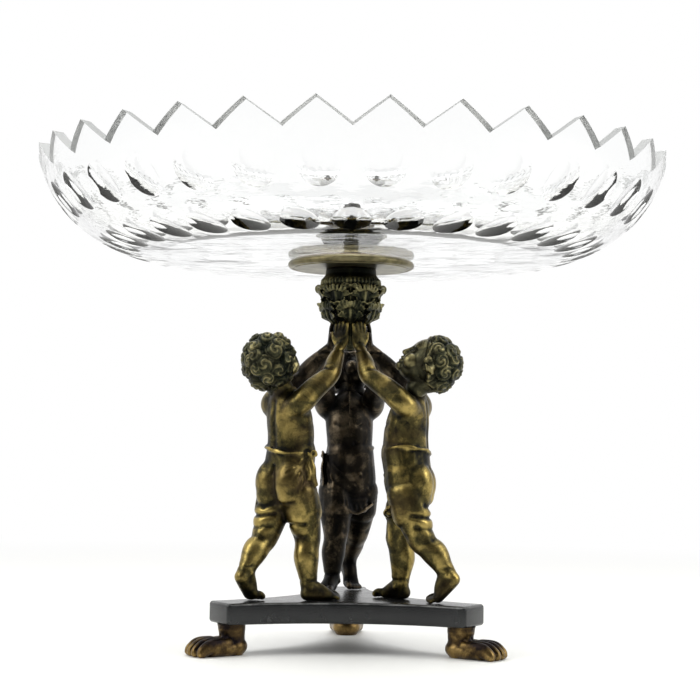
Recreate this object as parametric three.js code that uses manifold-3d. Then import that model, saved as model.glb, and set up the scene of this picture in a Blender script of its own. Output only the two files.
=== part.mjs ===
// Footed centrepiece: a cut-glass bowl on a bronze stand. Three cast putti stand on a three-cornered plinth
// with lion-paw feet and hold up a leaf capital, which carries the bowl on a round plate.
// Millimetres, +Z up, origin on the table under the middle of the bowl. The front, -Y, is one long hollow side
// of the plinth, between two of its corners.
import * as THREE from 'three';
import { mergeVertices } from 'three/addons/utils/BufferGeometryUtils.js';
import Module from 'manifold-3d';

const wasm = await Module();
wasm.setup();

// Bowl
const BOWL_RADIUS = 160; // to the tips of the teeth
const BOWL_FLOOR_RADIUS = 98; // flat of the underside
const BOWL_HEIGHT = 50.4;
const BOWL_CURVE_HEIGHT = 58.5; // height of the quarter ellipse that the wall follows
const GLASS_WALL = 5.2;
const GLASS_FLOOR = 6.5;
const GLASS_BORE_RADIUS = 3.6;
const GLASS_SEAT_DEPTH = 0.2; // ground flat under the washer
const GLASS_SEAT_MARGIN = 1; // past the edge of the washer
const TOOTH_COUNT = 32;
const TOOTH_DEPTH = 11.4;
const UPPER_CUT = { length: 31, width: 20, depth: 2, angle: 52 };
const LOWER_CUT = { length: 30, width: 18, depth: 1.9, angle: 19 };
const CUTTING_WHEEL_THICKNESS = 14; // thickness of the round-edged wheel that grinds a cut

// Bowl fixing
const STUD_RADIUS = 2.5;
const STUD_GRIP = 20; // length of stud inside the capital
const PAD_RADIUS = 28;
const PAD_THICKNESS = 1.2;
const PAD_PROUD = 0.4; // how far the pad stands above the plate
const WASHER_RADIUS = 8.5;
const WASHER_THICKNESS = 1.2;
const FINIAL_RADIUS = 6.5;
const FINIAL_HEIGHT = 10.5;
const FINIAL_BORE_DEPTH = 6.5;

// Plate and capital
const PLATE_RADIUS = 32.4;
const PLATE_THICKNESS = 4.2;
const CAPITAL_TIP_HEIGHT = 125; // lowest point of the capital, above the plinth
const CAPITAL_HEIGHT = 42.3;
const CAPITAL_NECK_RADIUS = 12.9;
const CAPITAL_BELL_RADIUS = 12.4;
const CAPITAL_STEM_RADIUS = 7.4; // the part that the hands hold
const CAPITAL_NECK_HEIGHT = 4; // plain band under the plate
const BELL_FLARE = 1.3; // height of the bell's sloping underside
const LEAF_COUNT = 6; // in each of the two rows
const LEAF_STEPS = 6; // facets across a leaf
const LEAF_EDGE = [1, 0.5, 0.85, 0]; // reach of the middle lobe, the notch beside it, a side lobe and the gap
const LEAF_ARCH = [1, 0.94, 0.7, 0.25]; // heights at the same four places
const LEAF_HANG = 0.22; // share of a leaf's height that its tip hangs down
const TALL_LEAF = { lip: 0.84, reach: 17.2 }; // height of the lip as a share of the bell's height
const SHORT_LEAF = { lip: 0.42, reach: 15.4 };

// Plinth and its feet
const PLINTH_THICKNESS = 10.4;
const PLINTH_CORNER_DISTANCE = 72; // from the axis to each flat corner
const PLINTH_CORNER_WIDTH = 21.8;
const PLINTH_SIDE_HOLLOW = 15;
const PLINTH_EDGE_ROUND = 1.2;
const PAW_HEIGHT = 15.1;
const PAW_DISTANCE = 64.6; // from the axis to the middle of the paw's leg
const PAW_LEG_RADIUS = 7.3;
const PAW_TOE_REACH = 23; // from the middle of the leg to the toe tips
const PAW_WIDTH = 19;
const PAW_TOE_HEIGHT = 8.3;
const PAW_TOE_COUNT = 4;
const PAW_STUD_RADIUS = 2;
const PAW_STUD_LENGTH = 14;

// Figures, in round numbers on the proportions of a small child
const FIGURE_DISTANCE = 35; // from the axis to the middle of the hips
const HIP_TURN = 22; // degrees to the figure's left
const SHOULDER_TURN = 8;
const HIP_HEIGHT = 56;
const HIP_WIDTH = 30;
const HIP_DEPTH = 26;
const WAIST_HEIGHT = 74;
const WAIST_WIDTH = 24;
const WAIST_DEPTH = 23;
const CHEST_HEIGHT = 90;
const CHEST_WIDTH = 26;
const CHEST_DEPTH = 23;
const SHOULDER_HEIGHT = 100;
const SHOULDER_SPAN = 24; // between the arm sockets
const BACK_BEND = 2; // how far the belly is ahead of the hips, and the neck behind them
const NECK_RADIUS = 5.5;
const HEAD_RADIUS = 14;
const HEAD_RISE = 17.5; // head centre above the shoulders
const HEAD_SETBACK = 10; // head centre behind the shoulders
const HEAD_TILT = 42; // degrees that the face looks up
const HAIR_CURL = 1.6; // height of a curl
const CURLS_AROUND = 6;
const THIGH_RADIUS = 8.5;
const KNEE_RADIUS = 6.5;
const CALF_RADIUS = 6;
const ANKLE_RADIUS = 4.5;
const ANKLE_HEIGHT = 6;
const KNEE_HEIGHT = 31;
const FOOT_LENGTH = 20;
const FOOT_WIDTH = 9;
const FOOT_HEIGHT = 9; // over the instep
const STANCE_SPAN = 15; // across the figure, between the feet
const STEP_AHEAD = 3; // from the hips to the planted right heel
const STEP_BEHIND = 17; // from the hips to the ball of the trailing left foot
const TOES_OUT = 12; // degrees that the right foot is turned out
const LIFTED_HEEL = 12;
const KNEE_BEND = 3;
const UPPER_ARM_RADIUS = 5;
const FOREARM_RADIUS = 4.2;
const WRIST_RADIUS = 3;
const ELBOW_HEIGHT = 112;
const ELBOW_SPAN = 30; // between the elbows
const ELBOW_DISTANCE = 20; // from the axis to the elbows, along x
const ARM_CUT = 5; // from the socket's middle to the joint face of the separate arm
const ARM_TENON_RADIUS = 2;
const ARM_TENON_LENGTH = 5;
const ARM_TENON_ROOT = 2; // its length inside the arm
const HAND_LIFT = 2; // wrist above the capital's tip
const HAND_ROOM = 1; // between the fingertips and the capital's bell
const HAND_LENGTH = 13;
const HAND_WIDTH = 7.5;
const HAND_THICKNESS = 3.4;
const FINGER_COUNT = 4;
const FINGER_GAP = 0.15;
const THUMB_WIDTH = 2.6;
const HAND_TURN = 33; // degrees from the figure to each hand, seen from the axis
const SEAT_SWELL = 0.16; // of each half of the seat, as a share of the hips
const CLOTH_THICKNESS = 1.1;
const CLOTH_HEM_HEIGHT = 46;
const CLOTH_SLEEVE = 0.42; // share of each thigh that the cloth covers
const CLOTH_ROLL = 1.8; // radius of the rolled waist
const CLOTH_SLOPE = 10; // degrees that the waist dips to the right
const KNOT_RADIUS = 2.8;
const TAIL_LENGTH = 14; // loose end of the cloth, under the knot
const TAIL_WIDTH = 5;
const TANG_RADIUS = 1.6;
const NUT_RADIUS = 3.3;
const NUT_THICKNESS = 2.6;
const NUT_RECESS_RADIUS = 4.3;
const NUT_RECESS_DEPTH = 3.4;

const OVERSHOOT = 1; // how far a cutter reaches past what it cuts
const WELD_DISTANCE = 0.01; // corners of a mesh that lie closer than this are one corner

// Gaps between pieces that touch on the real object
const SEAT_GAP = 0.05;
const BORE_GAP = 0.2;
const FIT_GAP = 0.3;

const FIGURES = { front_left: 210, front_right: 330, back: 90 }; // azimuth of each figure and of its corner
const FACING = 180; // azimuth of a figure in its own frame, where it looks along +x at the axis

// Levels, from the table up
const plinthBase = PAW_HEIGHT + SEAT_GAP;
const plinthTop = plinthBase + PLINTH_THICKNESS;
const capitalBase = plinthTop + CAPITAL_TIP_HEIGHT;
const capitalTop = capitalBase + CAPITAL_HEIGHT;
const stemHeight = HAND_LIFT + HAND_LENGTH + HAND_ROOM; // of the part of the capital that the hands hold
const bellHeight = CAPITAL_HEIGHT - CAPITAL_NECK_HEIGHT - stemHeight;
const plateBase = capitalTop + SEAT_GAP;
const plateTop = plateBase + PLATE_THICKNESS;
const padTop = plateTop + PAD_PROUD;
const padBase = padTop - PAD_THICKNESS;
const bowlBase = padTop + SEAT_GAP;
const washerBase = bowlBase + GLASS_FLOOR - GLASS_SEAT_DEPTH + SEAT_GAP;
const washerTop = washerBase + WASHER_THICKNESS;
const finialBase = washerTop + SEAT_GAP;

const gildedBronze = new THREE.MeshStandardMaterial({ color: 0x6b5c2f, roughness: 0.38, metalness: 1 });
const darkBronze = new THREE.MeshStandardMaterial({ color: 0x39362a, roughness: 0.42, metalness: 1 });
const plateBrass = new THREE.MeshStandardMaterial({ color: 0x8f8459, roughness: 0.35, metalness: 1 });
const pawBronze = new THREE.MeshStandardMaterial({ color: 0x7a5c2e, roughness: 0.4, metalness: 1 });
const blackPatina = new THREE.MeshStandardMaterial({ color: 0x24262a, roughness: 0.45, metalness: 0.3 });
const steel = new THREE.MeshStandardMaterial({ color: 0x77736b, roughness: 0.4, metalness: 1 });
const leather = new THREE.MeshStandardMaterial({ color: 0x8a7458, roughness: 0.85, metalness: 0 });
const glass = new THREE.MeshStandardMaterial({ color: 0xf4f7f6, roughness: 0.02, transparent: true });
glass.opacity = 0.35;

const degrees = THREE.MathUtils.degToRad;
const upAxis = new THREE.Vector3(0, 0, 1);

function vec(x, y, z) {
  return new THREE.Vector3(x, y, z);
}

// A closed geometry as a solid, placed by a matrix. Its faces are turned round if they point inwards.
function solid(geometry, matrix = new THREE.Matrix4()) {
  const bare = new THREE.BufferGeometry();
  bare.setAttribute('position', geometry.getAttribute('position').clone());
  bare.setIndex(geometry.index);
  bare.applyMatrix4(matrix);
  const merged = mergeVertices(bare, WELD_DISTANCE);
  const vertProperties = merged.attributes.position.array;
  const triVerts = new Uint32Array(merged.index.array);
  const made = new wasm.Manifold(new wasm.Mesh({ numProp: 3, vertProperties, triVerts }));
  if (made.volume() > 0) {
    return made;
  }
  triVerts.reverse();
  return new wasm.Manifold(new wasm.Mesh({ numProp: 3, vertProperties, triVerts }));
}

function unite(shapes) {
  return shapes.reduce((whole, shape) => whole.add(shape));
}

function cutAway(shape, cutters) {
  return cutters.reduce((left, cutter) => left.subtract(cutter), shape);
}

// Turns a profile of [radius, height] points about the z axis. The profile starts and ends on the axis.
function turn(profile, segments) {
  const points = profile.map(([radius, height]) => new THREE.Vector2(radius, height));
  return solid(new THREE.LatheGeometry(points, segments).rotateX(Math.PI / 2));
}

function rod(radius, low, high, at = vec(0, 0, 0), sides = 10) {
  const shape = new THREE.CylinderGeometry(radius, radius, high - low, sides).rotateX(Math.PI / 2);
  return solid(shape.translate(at.x, at.y, (low + high) / 2));
}

// A hole that clears a round piece. Its flats stand off by the gap, so its corners stand off more.
function bore(radius, low, high, at = vec(0, 0, 0), sides = 8) {
  return rod((radius + BORE_GAP) / Math.cos(Math.PI / sides), low, high, at, sides);
}

function ball(centre, halfSizes, around, rings) {
  const shape = new THREE.SphereGeometry(1, around, rings).scale(...halfSizes);
  return solid(shape.translate(centre.x, centre.y, centre.z));
}

// The half space above a plane, as a large box. The plane passes through a point, square to a direction.
function halfSpace(point, direction) {
  const size = 4 * BOWL_RADIUS;
  const turnTo = new THREE.Quaternion().setFromUnitVectors(upAxis, direction.clone().normalize());
  const place = new THREE.Matrix4().compose(point, turnTo, vec(1, 1, 1));
  return solid(new THREE.BoxGeometry(size, size, size).translate(0, 0, size / 2), place);
}

// Closes rings of points, all of the same count, into one skin with a point at each end.
function skin(rings, low, high) {
  const sides = rings[0].length;
  const points = [...rings.flat(), low, high];
  const lowIndex = points.length - 2;
  const highIndex = points.length - 1;
  const lastRing = (rings.length - 1) * sides;
  const index = [];
  for (let side = 0; side < sides; side++) {
    const next = (side + 1) % sides;
    index.push(lowIndex, next, side);
    index.push(highIndex, lastRing + side, lastRing + next);
    for (let start = 0; start < lastRing; start += sides) {
      index.push(start + side, start + next, start + sides + side);
      index.push(start + next, start + sides + next, start + sides + side);
    }
  }
  return solid(new THREE.BufferGeometry().setFromPoints(points).setIndex(index));
}

// A limb, toe or finger: oval rings along a smooth path. A station is { at, width, depth }, and the width lies
// along the direction that across() gives at each share of the path. The ends are domed by a share of their
// half depth.
function loft(stations, { sides, rings, across, dome = 0.7, swell = () => 1 }) {
  const path = new THREE.CatmullRomCurve3(stations.map(({ at }) => at), false, 'centripetal');
  const ovals = stations.map(({ width, depth = width }) => vec(width / 2, depth / 2, 0));
  const sizes = new THREE.CatmullRomCurve3(ovals, false, 'catmullrom', 0.5);
  const ringAt = (share) => {
    const centre = path.getPoint(share);
    const along = path.getTangent(share);
    const size = sizes.getPoint(share);
    const wide = across(share).projectOnPlane(along).normalize();
    const deep = along.clone().cross(wide);
    return Array.from({ length: sides }, (_, side) => {
      const angle = (2 * Math.PI * side) / sides;
      const reach = swell(share, angle);
      return centre.clone()
        .addScaledVector(wide, Math.cos(angle) * size.x * reach)
        .addScaledVector(deep, Math.sin(angle) * size.y * reach);
    });
  };
  const tip = (share, way) => {
    const size = sizes.getPoint(share);
    const reach = way * dome * Math.min(size.x, size.y);
    return path.getPoint(share).addScaledVector(path.getTangent(share), reach);
  };
  const all = Array.from({ length: rings + 1 }, (_, ring) => ringAt(ring / rings));
  return skin(all, tip(0, -1), tip(1, 1));
}

// Bowl

// The outer wall is a quarter ellipse that starts level at the edge of the flat floor. The inner wall is
// another.
function wallPoint(angle, wall, floor) {
  const reach = (BOWL_RADIUS - BOWL_FLOOR_RADIUS) / Math.sin(rimAngle(0)) - wall;
  const radius = BOWL_FLOOR_RADIUS + reach * Math.sin(angle);
  const height = BOWL_CURVE_HEIGHT - (BOWL_CURVE_HEIGHT - floor) * Math.cos(angle);
  return [radius, height];
}

// The angle on the ellipse at which the wall reaches the height of the bowl.
function rimAngle(floor) {
  return Math.acos((BOWL_CURVE_HEIGHT - BOWL_HEIGHT) / (BOWL_CURVE_HEIGHT - floor));
}

function wallCurve(wall, floor, steps) {
  return Array.from({ length: steps + 1 }, (_, i) => wallPoint((i / steps) * rimAngle(floor), wall, floor));
}

// The V between two teeth, as a wedge that points outwards along +x.
function toothGap() {
  const overshoot = 1.4;
  const halfPitch = BOWL_RADIUS * Math.tan(Math.PI / TOOTH_COUNT);
  const low = BOWL_HEIGHT - TOOTH_DEPTH;
  const high = low + TOOTH_DEPTH * overshoot;
  const outline = new THREE.Shape();
  outline.moveTo(0, low);
  outline.lineTo(halfPitch * overshoot, high);
  outline.lineTo(-halfPitch * overshoot, high);
  const depth = BOWL_RADIUS - BOWL_FLOOR_RADIUS;
  const wedge = new THREE.ExtrudeGeometry(outline, { depth, bevelEnabled: false });
  return wedge.rotateX(Math.PI / 2).rotateZ(Math.PI / 2).translate(BOWL_RADIUS - depth / 2, 0, 0);
}

// The edge of a grinding wheel, sunk into the wall to the depth of an oval cut, at azimuth 0.
function cuttingWheel(cut) {
  const halfThickness = CUTTING_WHEEL_THICKNESS / 2;
  const rise = halfThickness - cut.depth;
  const spread = Math.sqrt(1 - (rise / halfThickness) ** 2);
  const angle = degrees(cut.angle);
  const [radius, height] = wallPoint(angle, 0, 0);
  const reach = BOWL_RADIUS - BOWL_FLOOR_RADIUS;
  const slope = Math.atan2(BOWL_CURVE_HEIGHT * Math.sin(angle), reach * Math.cos(angle));
  const wheel = new THREE.SphereGeometry(1, 8, 5).rotateX(Math.PI / 2);
  wheel.scale(cut.length / 2 / spread, cut.width / 2 / spread, halfThickness);
  return wheel.translate(0, 0, -rise).rotateY(-slope).translate(radius, 0, height);
}

function bowl() {
  const outer = wallCurve(0, 0, 4);
  const inner = wallCurve(GLASS_WALL, GLASS_FLOOR, 3).reverse();
  const pitch = 360 / TOOTH_COUNT;
  const profile = [[0, 0], ...outer, ...inner, [0, GLASS_FLOOR]];
  const blank = turn(profile, TOOTH_COUNT).rotate([0, 0, pitch / 2]);
  const seat = WASHER_RADIUS + GLASS_SEAT_MARGIN;
  const cutters = [
    rod(GLASS_BORE_RADIUS, -GLASS_FLOOR, 2 * GLASS_FLOOR),
    rod(seat, GLASS_FLOOR - GLASS_SEAT_DEPTH, 2 * GLASS_FLOOR, vec(0, 0, 0), TOOTH_COUNT),
  ];
  const at = (azimuth) => new THREE.Matrix4().makeRotationZ(degrees(azimuth));
  for (let i = 0; i < TOOTH_COUNT; i++) {
    const valley = at(i * pitch - 90);
    const tooth = at((i + 0.5) * pitch - 90);
    cutters.push(solid(toothGap(), valley));
    cutters.push(solid(cuttingWheel(UPPER_CUT), tooth));
    cutters.push(solid(cuttingWheel(LOWER_CUT), valley));
  }
  return cutAway(blank, cutters).translate(0, 0, bowlBase);
}

// Bowl fixing: a stud screwed into the capital goes through the plate, pad, glass and washer to the finial
// nut.

function centreStud() {
  return rod(STUD_RADIUS, capitalTop - STUD_GRIP, finialBase + FINIAL_BORE_DEPTH - BORE_GAP);
}

function ringDisc(radius, low, high, segments) {
  const hole = bore(STUD_RADIUS, low - OVERSHOOT, high + OVERSHOOT);
  return rod(radius, low, high, vec(0, 0, 0), segments).subtract(hole);
}

function finialNut() {
  const r = FINIAL_RADIUS;
  const h = FINIAL_HEIGHT;
  const foot = [[0, 0], [r, 0], [r, 0.14 * h]];
  const waist = [[0.6 * r, 0.28 * h]];
  const knob = [[0.8 * r, 0.5 * h], [0.8 * r, 0.68 * h], [0.5 * r, 0.9 * h], [0, h]];
  const thread = bore(STUD_RADIUS, -OVERSHOOT, FINIAL_BORE_DEPTH);
  return turn([...foot, ...waist, ...knob], 16).subtract(thread).translate(0, 0, finialBase);
}

function bowlPlate() {
  const r = PLATE_RADIUS;
  const t = PLATE_THICKNESS;
  const lip = r - 0.4 * t;
  const recess = PAD_RADIUS + BORE_GAP;
  const recessFloor = t - (PAD_THICKNESS - PAD_PROUD) - SEAT_GAP;
  const edge = [[lip, 0], [r, 0.3 * t], [r, 0.6 * t], [lip, t]];
  const disc = turn([[0, 0], ...edge, [recess, t], [recess, recessFloor], [0, recessFloor]], 32);
  const hole = bore(STUD_RADIUS, -OVERSHOOT, t + OVERSHOOT);
  return disc.subtract(hole).translate(0, 0, plateBase);
}

// Capital

// The part that the hands hold, from its tip up into the bell.
function capitalStem() {
  const r = CAPITAL_STEM_RADIUS;
  const h = stemHeight;
  return turn([[0, 0], [0.45 * r, 0.05 * h], [0.85 * r, 0.25 * h], [r, 0.5 * h], [r, h], [0, h]], 12);
}

function circle(radius, height) {
  const count = LEAF_COUNT * LEAF_STEPS;
  return Array.from({ length: count }, (_, i) => around((360 * i) / count, radius).setZ(height));
}

// One row of leaves, as rings of a skin over the bell. It starts on the ring below it, climbs the bell, bends
// out under the curled tips, runs over them and steps back. Its points go out at the middle of each leaf, by
// less over the lobes at its sides, and not at all in the gap between two leaves, where the leaf is also lower.
function leafRow({ lip, reach }, turned, below) {
  const rings = [[0, 0], [0.35, 0.7], [1, 0.76], [1, 0.92], [0.6, 0.97], [0, 1]];
  return rings.map(([out, height]) => below.map((low, i) => {
    const step = (i + turned) % LEAF_STEPS;
    const place = Math.min(step, LEAF_STEPS - step);
    const radius = CAPITAL_BELL_RADIUS + LEAF_EDGE[place] * out * (reach - CAPITAL_BELL_RADIUS);
    const hang = LEAF_EDGE[place] * LEAF_HANG * out ** 2;
    const base = low.z + FIT_GAP;
    const rise = LEAF_ARCH[place] * (height - hang) * (stemHeight + lip * bellHeight - base);
    return around((360 * i) / below.length, radius).setZ(base + rise);
  }));
}

function capital() {
  const neck = CAPITAL_NECK_RADIUS;
  const start = stemHeight - FIT_GAP;
  const bellFoot = circle(CAPITAL_BELL_RADIUS, stemHeight + BELL_FLARE);
  const shortLeaves = leafRow(SHORT_LEAF, LEAF_STEPS / 2, bellFoot);
  const tallLeaves = leafRow(TALL_LEAF, 0, shortLeaves.at(-1));
  const rings = [
    circle(0.8 * CAPITAL_STEM_RADIUS, start),
    bellFoot,
    ...shortLeaves,
    ...tallLeaves,
    circle(neck, CAPITAL_HEIGHT - CAPITAL_NECK_HEIGHT),
    circle(neck, CAPITAL_HEIGHT),
  ];
  const bell = skin(rings, vec(0, 0, start), vec(0, 0, CAPITAL_HEIGHT));
  const thread = bore(STUD_RADIUS, CAPITAL_HEIGHT - STUD_GRIP - BORE_GAP, CAPITAL_HEIGHT + OVERSHOOT);
  return unite([capitalStem(), bell]).subtract(thread).translate(0, 0, capitalBase);
}

// Plinth and paws

function around(azimuth, distance, aside = 0) {
  return vec(distance, aside, 0).applyAxisAngle(upAxis, degrees(azimuth));
}

// Three flat corners joined by hollow sides. The inset leaves room for the rounded edge.
function plinthOutline(inset) {
  const outline = new THREE.Shape();
  const halfCorner = PLINTH_CORNER_WIDTH / 2 - inset;
  const azimuths = Object.values(FIGURES).sort((a, b) => a - b);
  azimuths.forEach((azimuth, i) => {
    const start = around(azimuth, PLINTH_CORNER_DISTANCE - inset, -halfCorner);
    const from = around(azimuth, PLINTH_CORNER_DISTANCE - inset, halfCorner);
    const to = around(azimuth + 120, PLINTH_CORNER_DISTANCE - inset, -halfCorner);
    if (i === 0) {
      outline.moveTo(start.x, start.y);
    } else {
      outline.lineTo(start.x, start.y);
    }
    outline.lineTo(from.x, from.y);
    const halfChord = from.distanceTo(to) / 2;
    const radius = (halfChord ** 2 + PLINTH_SIDE_HOLLOW ** 2) / (2 * PLINTH_SIDE_HOLLOW);
    const centre = around(azimuth + 60, from.clone().lerp(to, 0.5).length() + radius - PLINTH_SIDE_HOLLOW);
    const startAngle = Math.atan2(from.y - centre.y, from.x - centre.x);
    const endAngle = Math.atan2(to.y - centre.y, to.x - centre.x);
    outline.absarc(centre.x, centre.y, radius, startAngle, endAngle, true);
  });
  return outline;
}

function plinth() {
  const round = PLINTH_EDGE_ROUND;
  const slab = new THREE.ExtrudeGeometry(plinthOutline(round), {
    depth: PLINTH_THICKNESS - 2 * round, curveSegments: 6,
    bevelThickness: round, bevelSize: round, bevelSegments: 1,
  });
  const studHole = PAW_STUD_LENGTH / 2 + BORE_GAP;
  const holes = [];
  for (const azimuth of Object.values(FIGURES)) {
    for (const at of tangPlaces()) {
      const place = at.applyAxisAngle(upAxis, degrees(azimuth - FACING));
      holes.push(bore(TANG_RADIUS, -OVERSHOOT, PLINTH_THICKNESS + OVERSHOOT, place));
      holes.push(rod(NUT_RECESS_RADIUS, -OVERSHOOT, NUT_RECESS_DEPTH, place, 8));
    }
    holes.push(bore(PAW_STUD_RADIUS, -OVERSHOOT, studHole, around(azimuth, PAW_DISTANCE)));
  }
  return cutAway(solid(slab.translate(0, 0, round)), holes).translate(0, 0, plinthBase);
}

// A lion's paw, pointing along +x: an upright leg, a broad pad and four bent toes, cut flat where it stands.
function paw() {
  const across = () => vec(0, 1, 0);
  const leg = PAW_LEG_RADIUS;
  const height = PAW_TOE_HEIGHT;
  const legStations = [
    { at: vec(-0.08 * leg, 0, 0.13 * PAW_HEIGHT), width: 2.1 * leg, depth: 2 * leg },
    { at: vec(0, 0, 0.5 * PAW_HEIGHT), width: 2.1 * leg, depth: 1.9 * leg },
    { at: vec(0, 0, 1.05 * PAW_HEIGHT), width: 2 * leg },
  ];
  const padStations = [
    { at: vec(0, 0, 0.4 * height), width: 2.1 * leg, depth: 1.1 * height },
    { at: vec(0.45 * PAW_TOE_REACH, 0, 0.4 * height), width: 0.9 * PAW_WIDTH, depth: 1.1 * height },
    { at: vec(0.75 * PAW_TOE_REACH, 0, 0.25 * height), width: 0.8 * PAW_WIDTH, depth: 0.6 * height },
  ];
  const toeWidth = PAW_WIDTH / PAW_TOE_COUNT;
  const toes = Array.from({ length: PAW_TOE_COUNT }, (_, i) => {
    const place = i - (PAW_TOE_COUNT - 1) / 2;
    const tip = PAW_TOE_REACH - toeWidth * 0.3 * Math.abs(place);
    const aside = 0.96 * place * toeWidth;
    const station = (x, z, wide, deep) => ({ at: vec(x, aside, z), width: wide, depth: deep });
    const stations = [
      station(0.3 * tip, 0.6 * height, toeWidth, 0.6 * height),
      station(0.62 * tip, 0.68 * height, 1.15 * toeWidth, 0.64 * height),
      station(0.85 * tip, 0.5 * height, 1.2 * toeWidth, 0.6 * height),
      station(0.95 * tip, 0.2 * height, toeWidth, 0.4 * height),
    ];
    return loft(stations, { sides: 5, rings: 3, across, dome: 0.5 });
  });
  const whole = unite([
    loft(legStations, { sides: 8, rings: 1, across }),
    loft(padStations, { sides: 8, rings: 2, across }),
    ...toes,
  ]);
  return cutAway(whole, [
    halfSpace(vec(0, 0, 0), vec(0, 0, -1)),
    halfSpace(vec(0, 0, PAW_HEIGHT), upAxis),
    bore(PAW_STUD_RADIUS, PAW_HEIGHT - PAW_STUD_LENGTH / 2 - BORE_GAP, PAW_HEIGHT + OVERSHOOT),
  ]);
}

function pawStud() {
  const half = PAW_STUD_LENGTH / 2;
  return rod(PAW_STUD_RADIUS, PAW_HEIGHT - half, PAW_HEIGHT + half, vec(0, 0, 0), 8);
}

// Figures, in their own frame: the plinth's top is z 0, the axis is x 0 and y 0, and the figure looks along
// +x.

function acrossAt(turned) {
  return vec(0, 1, 0).applyAxisAngle(upAxis, degrees(turned));
}

function aheadAt(turned) {
  return vec(1, 0, 0).applyAxisAngle(upAxis, degrees(turned));
}

function spine(height, ahead = 0) {
  return vec(ahead - FIGURE_DISTANCE, 0, height);
}

// The right foot is planted under the body with its toes turned out. The left foot trails behind on its toes.
function feet() {
  const sole = FOOT_LENGTH - FOOT_WIDTH / 2;
  const rightHeel = spine(0, STEP_AHEAD).addScaledVector(acrossAt(HIP_TURN), -STANCE_SPAN / 2);
  const leftBall = spine(0, -STEP_BEHIND).addScaledVector(acrossAt(HIP_TURN), STANCE_SPAN / 2);
  return {
    rightHeel,
    rightToe: rightHeel.clone().addScaledVector(aheadAt(-TOES_OUT), sole),
    leftHeel: leftBall.clone().addScaledVector(aheadAt(HIP_TURN), -0.45 * sole),
    leftBall,
    leftToe: leftBall.clone().addScaledVector(aheadAt(HIP_TURN), 0.3 * sole),
  };
}

// Where a tang under each foot goes through the plinth.
function tangPlaces() {
  const { rightHeel, rightToe, leftBall } = feet();
  return [rightHeel.lerp(rightToe, 0.35), leftBall];
}

function torso(gap = 0) {
  const station = (lean, height, width, depth) => ({
    at: spine(height, lean * BACK_BEND), width: width + 2 * gap, depth: depth + 2 * gap,
  });
  const neckHeight = SHOULDER_HEIGHT + 0.5 * NECK_RADIUS;
  const stations = [
    station(0.5, (HIP_HEIGHT + WAIST_HEIGHT) / 2, WAIST_WIDTH, WAIST_DEPTH),
    station(0.75, WAIST_HEIGHT, WAIST_WIDTH, WAIST_DEPTH),
    station(1, (WAIST_HEIGHT + CHEST_HEIGHT) / 2, 1.02 * WAIST_WIDTH, 1.04 * WAIST_DEPTH),
    station(0.5, CHEST_HEIGHT, CHEST_WIDTH, CHEST_DEPTH),
    station(-0.5, SHOULDER_HEIGHT, 0.86 * CHEST_WIDTH, 0.72 * CHEST_DEPTH),
    station(-1, neckHeight, 0.5 * CHEST_WIDTH, 0.5 * CHEST_DEPTH),
  ];
  const across = (share) => acrossAt(HIP_TURN + (SHOULDER_TURN - HIP_TURN) * share);
  return loft(stations, { sides: 9, rings: 5, across, dome: 0.3 });
}

// The line of a leg. Both knees are a little forward of the straight line from hip to ankle.
function legPath(side) {
  const { rightHeel, leftHeel } = feet();
  const heel = side < 0 ? rightHeel : leftHeel;
  const ankleHeight = side < 0 ? ANKLE_HEIGHT : LIFTED_HEEL;
  const ahead = aheadAt(HIP_TURN);
  const hip = spine(HIP_HEIGHT - 0.4 * THIGH_RADIUS);
  hip.addScaledVector(acrossAt(HIP_TURN), side * 0.24 * HIP_WIDTH);
  const ankle = heel.clone().addScaledVector(ahead, 0.6 * ANKLE_RADIUS).setZ(ankleHeight);
  const knee = hip.clone().lerp(ankle, 0.5).addScaledVector(ahead, KNEE_BEND).setZ(KNEE_HEIGHT);
  const calf = knee.clone().lerp(ankle, 0.36).addScaledVector(ahead, -0.5 * KNEE_BEND);
  return { hip, knee, calf, ankle };
}

function leg(side) {
  const { hip, knee, calf, ankle } = legPath(side);
  const stations = [
    { at: hip, width: 2.1 * THIGH_RADIUS },
    { at: hip.clone().lerp(knee, 0.5), width: 2 * THIGH_RADIUS },
    { at: knee, width: 2 * KNEE_RADIUS },
    { at: calf, width: 2 * CALF_RADIUS },
    { at: ankle, width: 2 * ANKLE_RADIUS },
  ];
  return loft(stations, { sides: 7, rings: 5, across: () => acrossAt(HIP_TURN), dome: 0.6 });
}

function plantedFoot() {
  const { rightHeel, rightToe } = feet();
  const station = (share, wide, thick) => ({
    at: rightHeel.clone().lerp(rightToe, share).setZ(0.5 * thick * FOOT_HEIGHT),
    width: wide * FOOT_WIDTH,
    depth: thick * FOOT_HEIGHT,
  });
  const stations = [
    station(0, 0.8, 0.8),
    station(0.3, 0.84, 1),
    station(0.65, 0.96, 0.7),
    station(1, 0.9, 0.4),
  ];
  return loft(stations, { sides: 6, rings: 3, across: () => acrossAt(-TOES_OUT) });
}

function trailingFoot() {
  const { leftHeel, leftBall, leftToe } = feet();
  const station = (at, height, wide, thick) => ({
    at: at.clone().setZ(height), width: wide * FOOT_WIDTH, depth: thick * FOOT_HEIGHT,
  });
  const arch = leftHeel.clone().lerp(leftBall, 0.5);
  const stations = [
    station(leftHeel, LIFTED_HEEL, 0.8, 0.8),
    station(arch, 0.6 * LIFTED_HEEL, 0.86, 0.85),
    station(leftBall, 0.3 * FOOT_HEIGHT, 1, 0.6),
    station(leftToe, 0.19 * FOOT_HEIGHT, 0.92, 0.38),
  ];
  return loft(stations, { sides: 6, rings: 3, across: () => acrossAt(HIP_TURN) });
}

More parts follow.
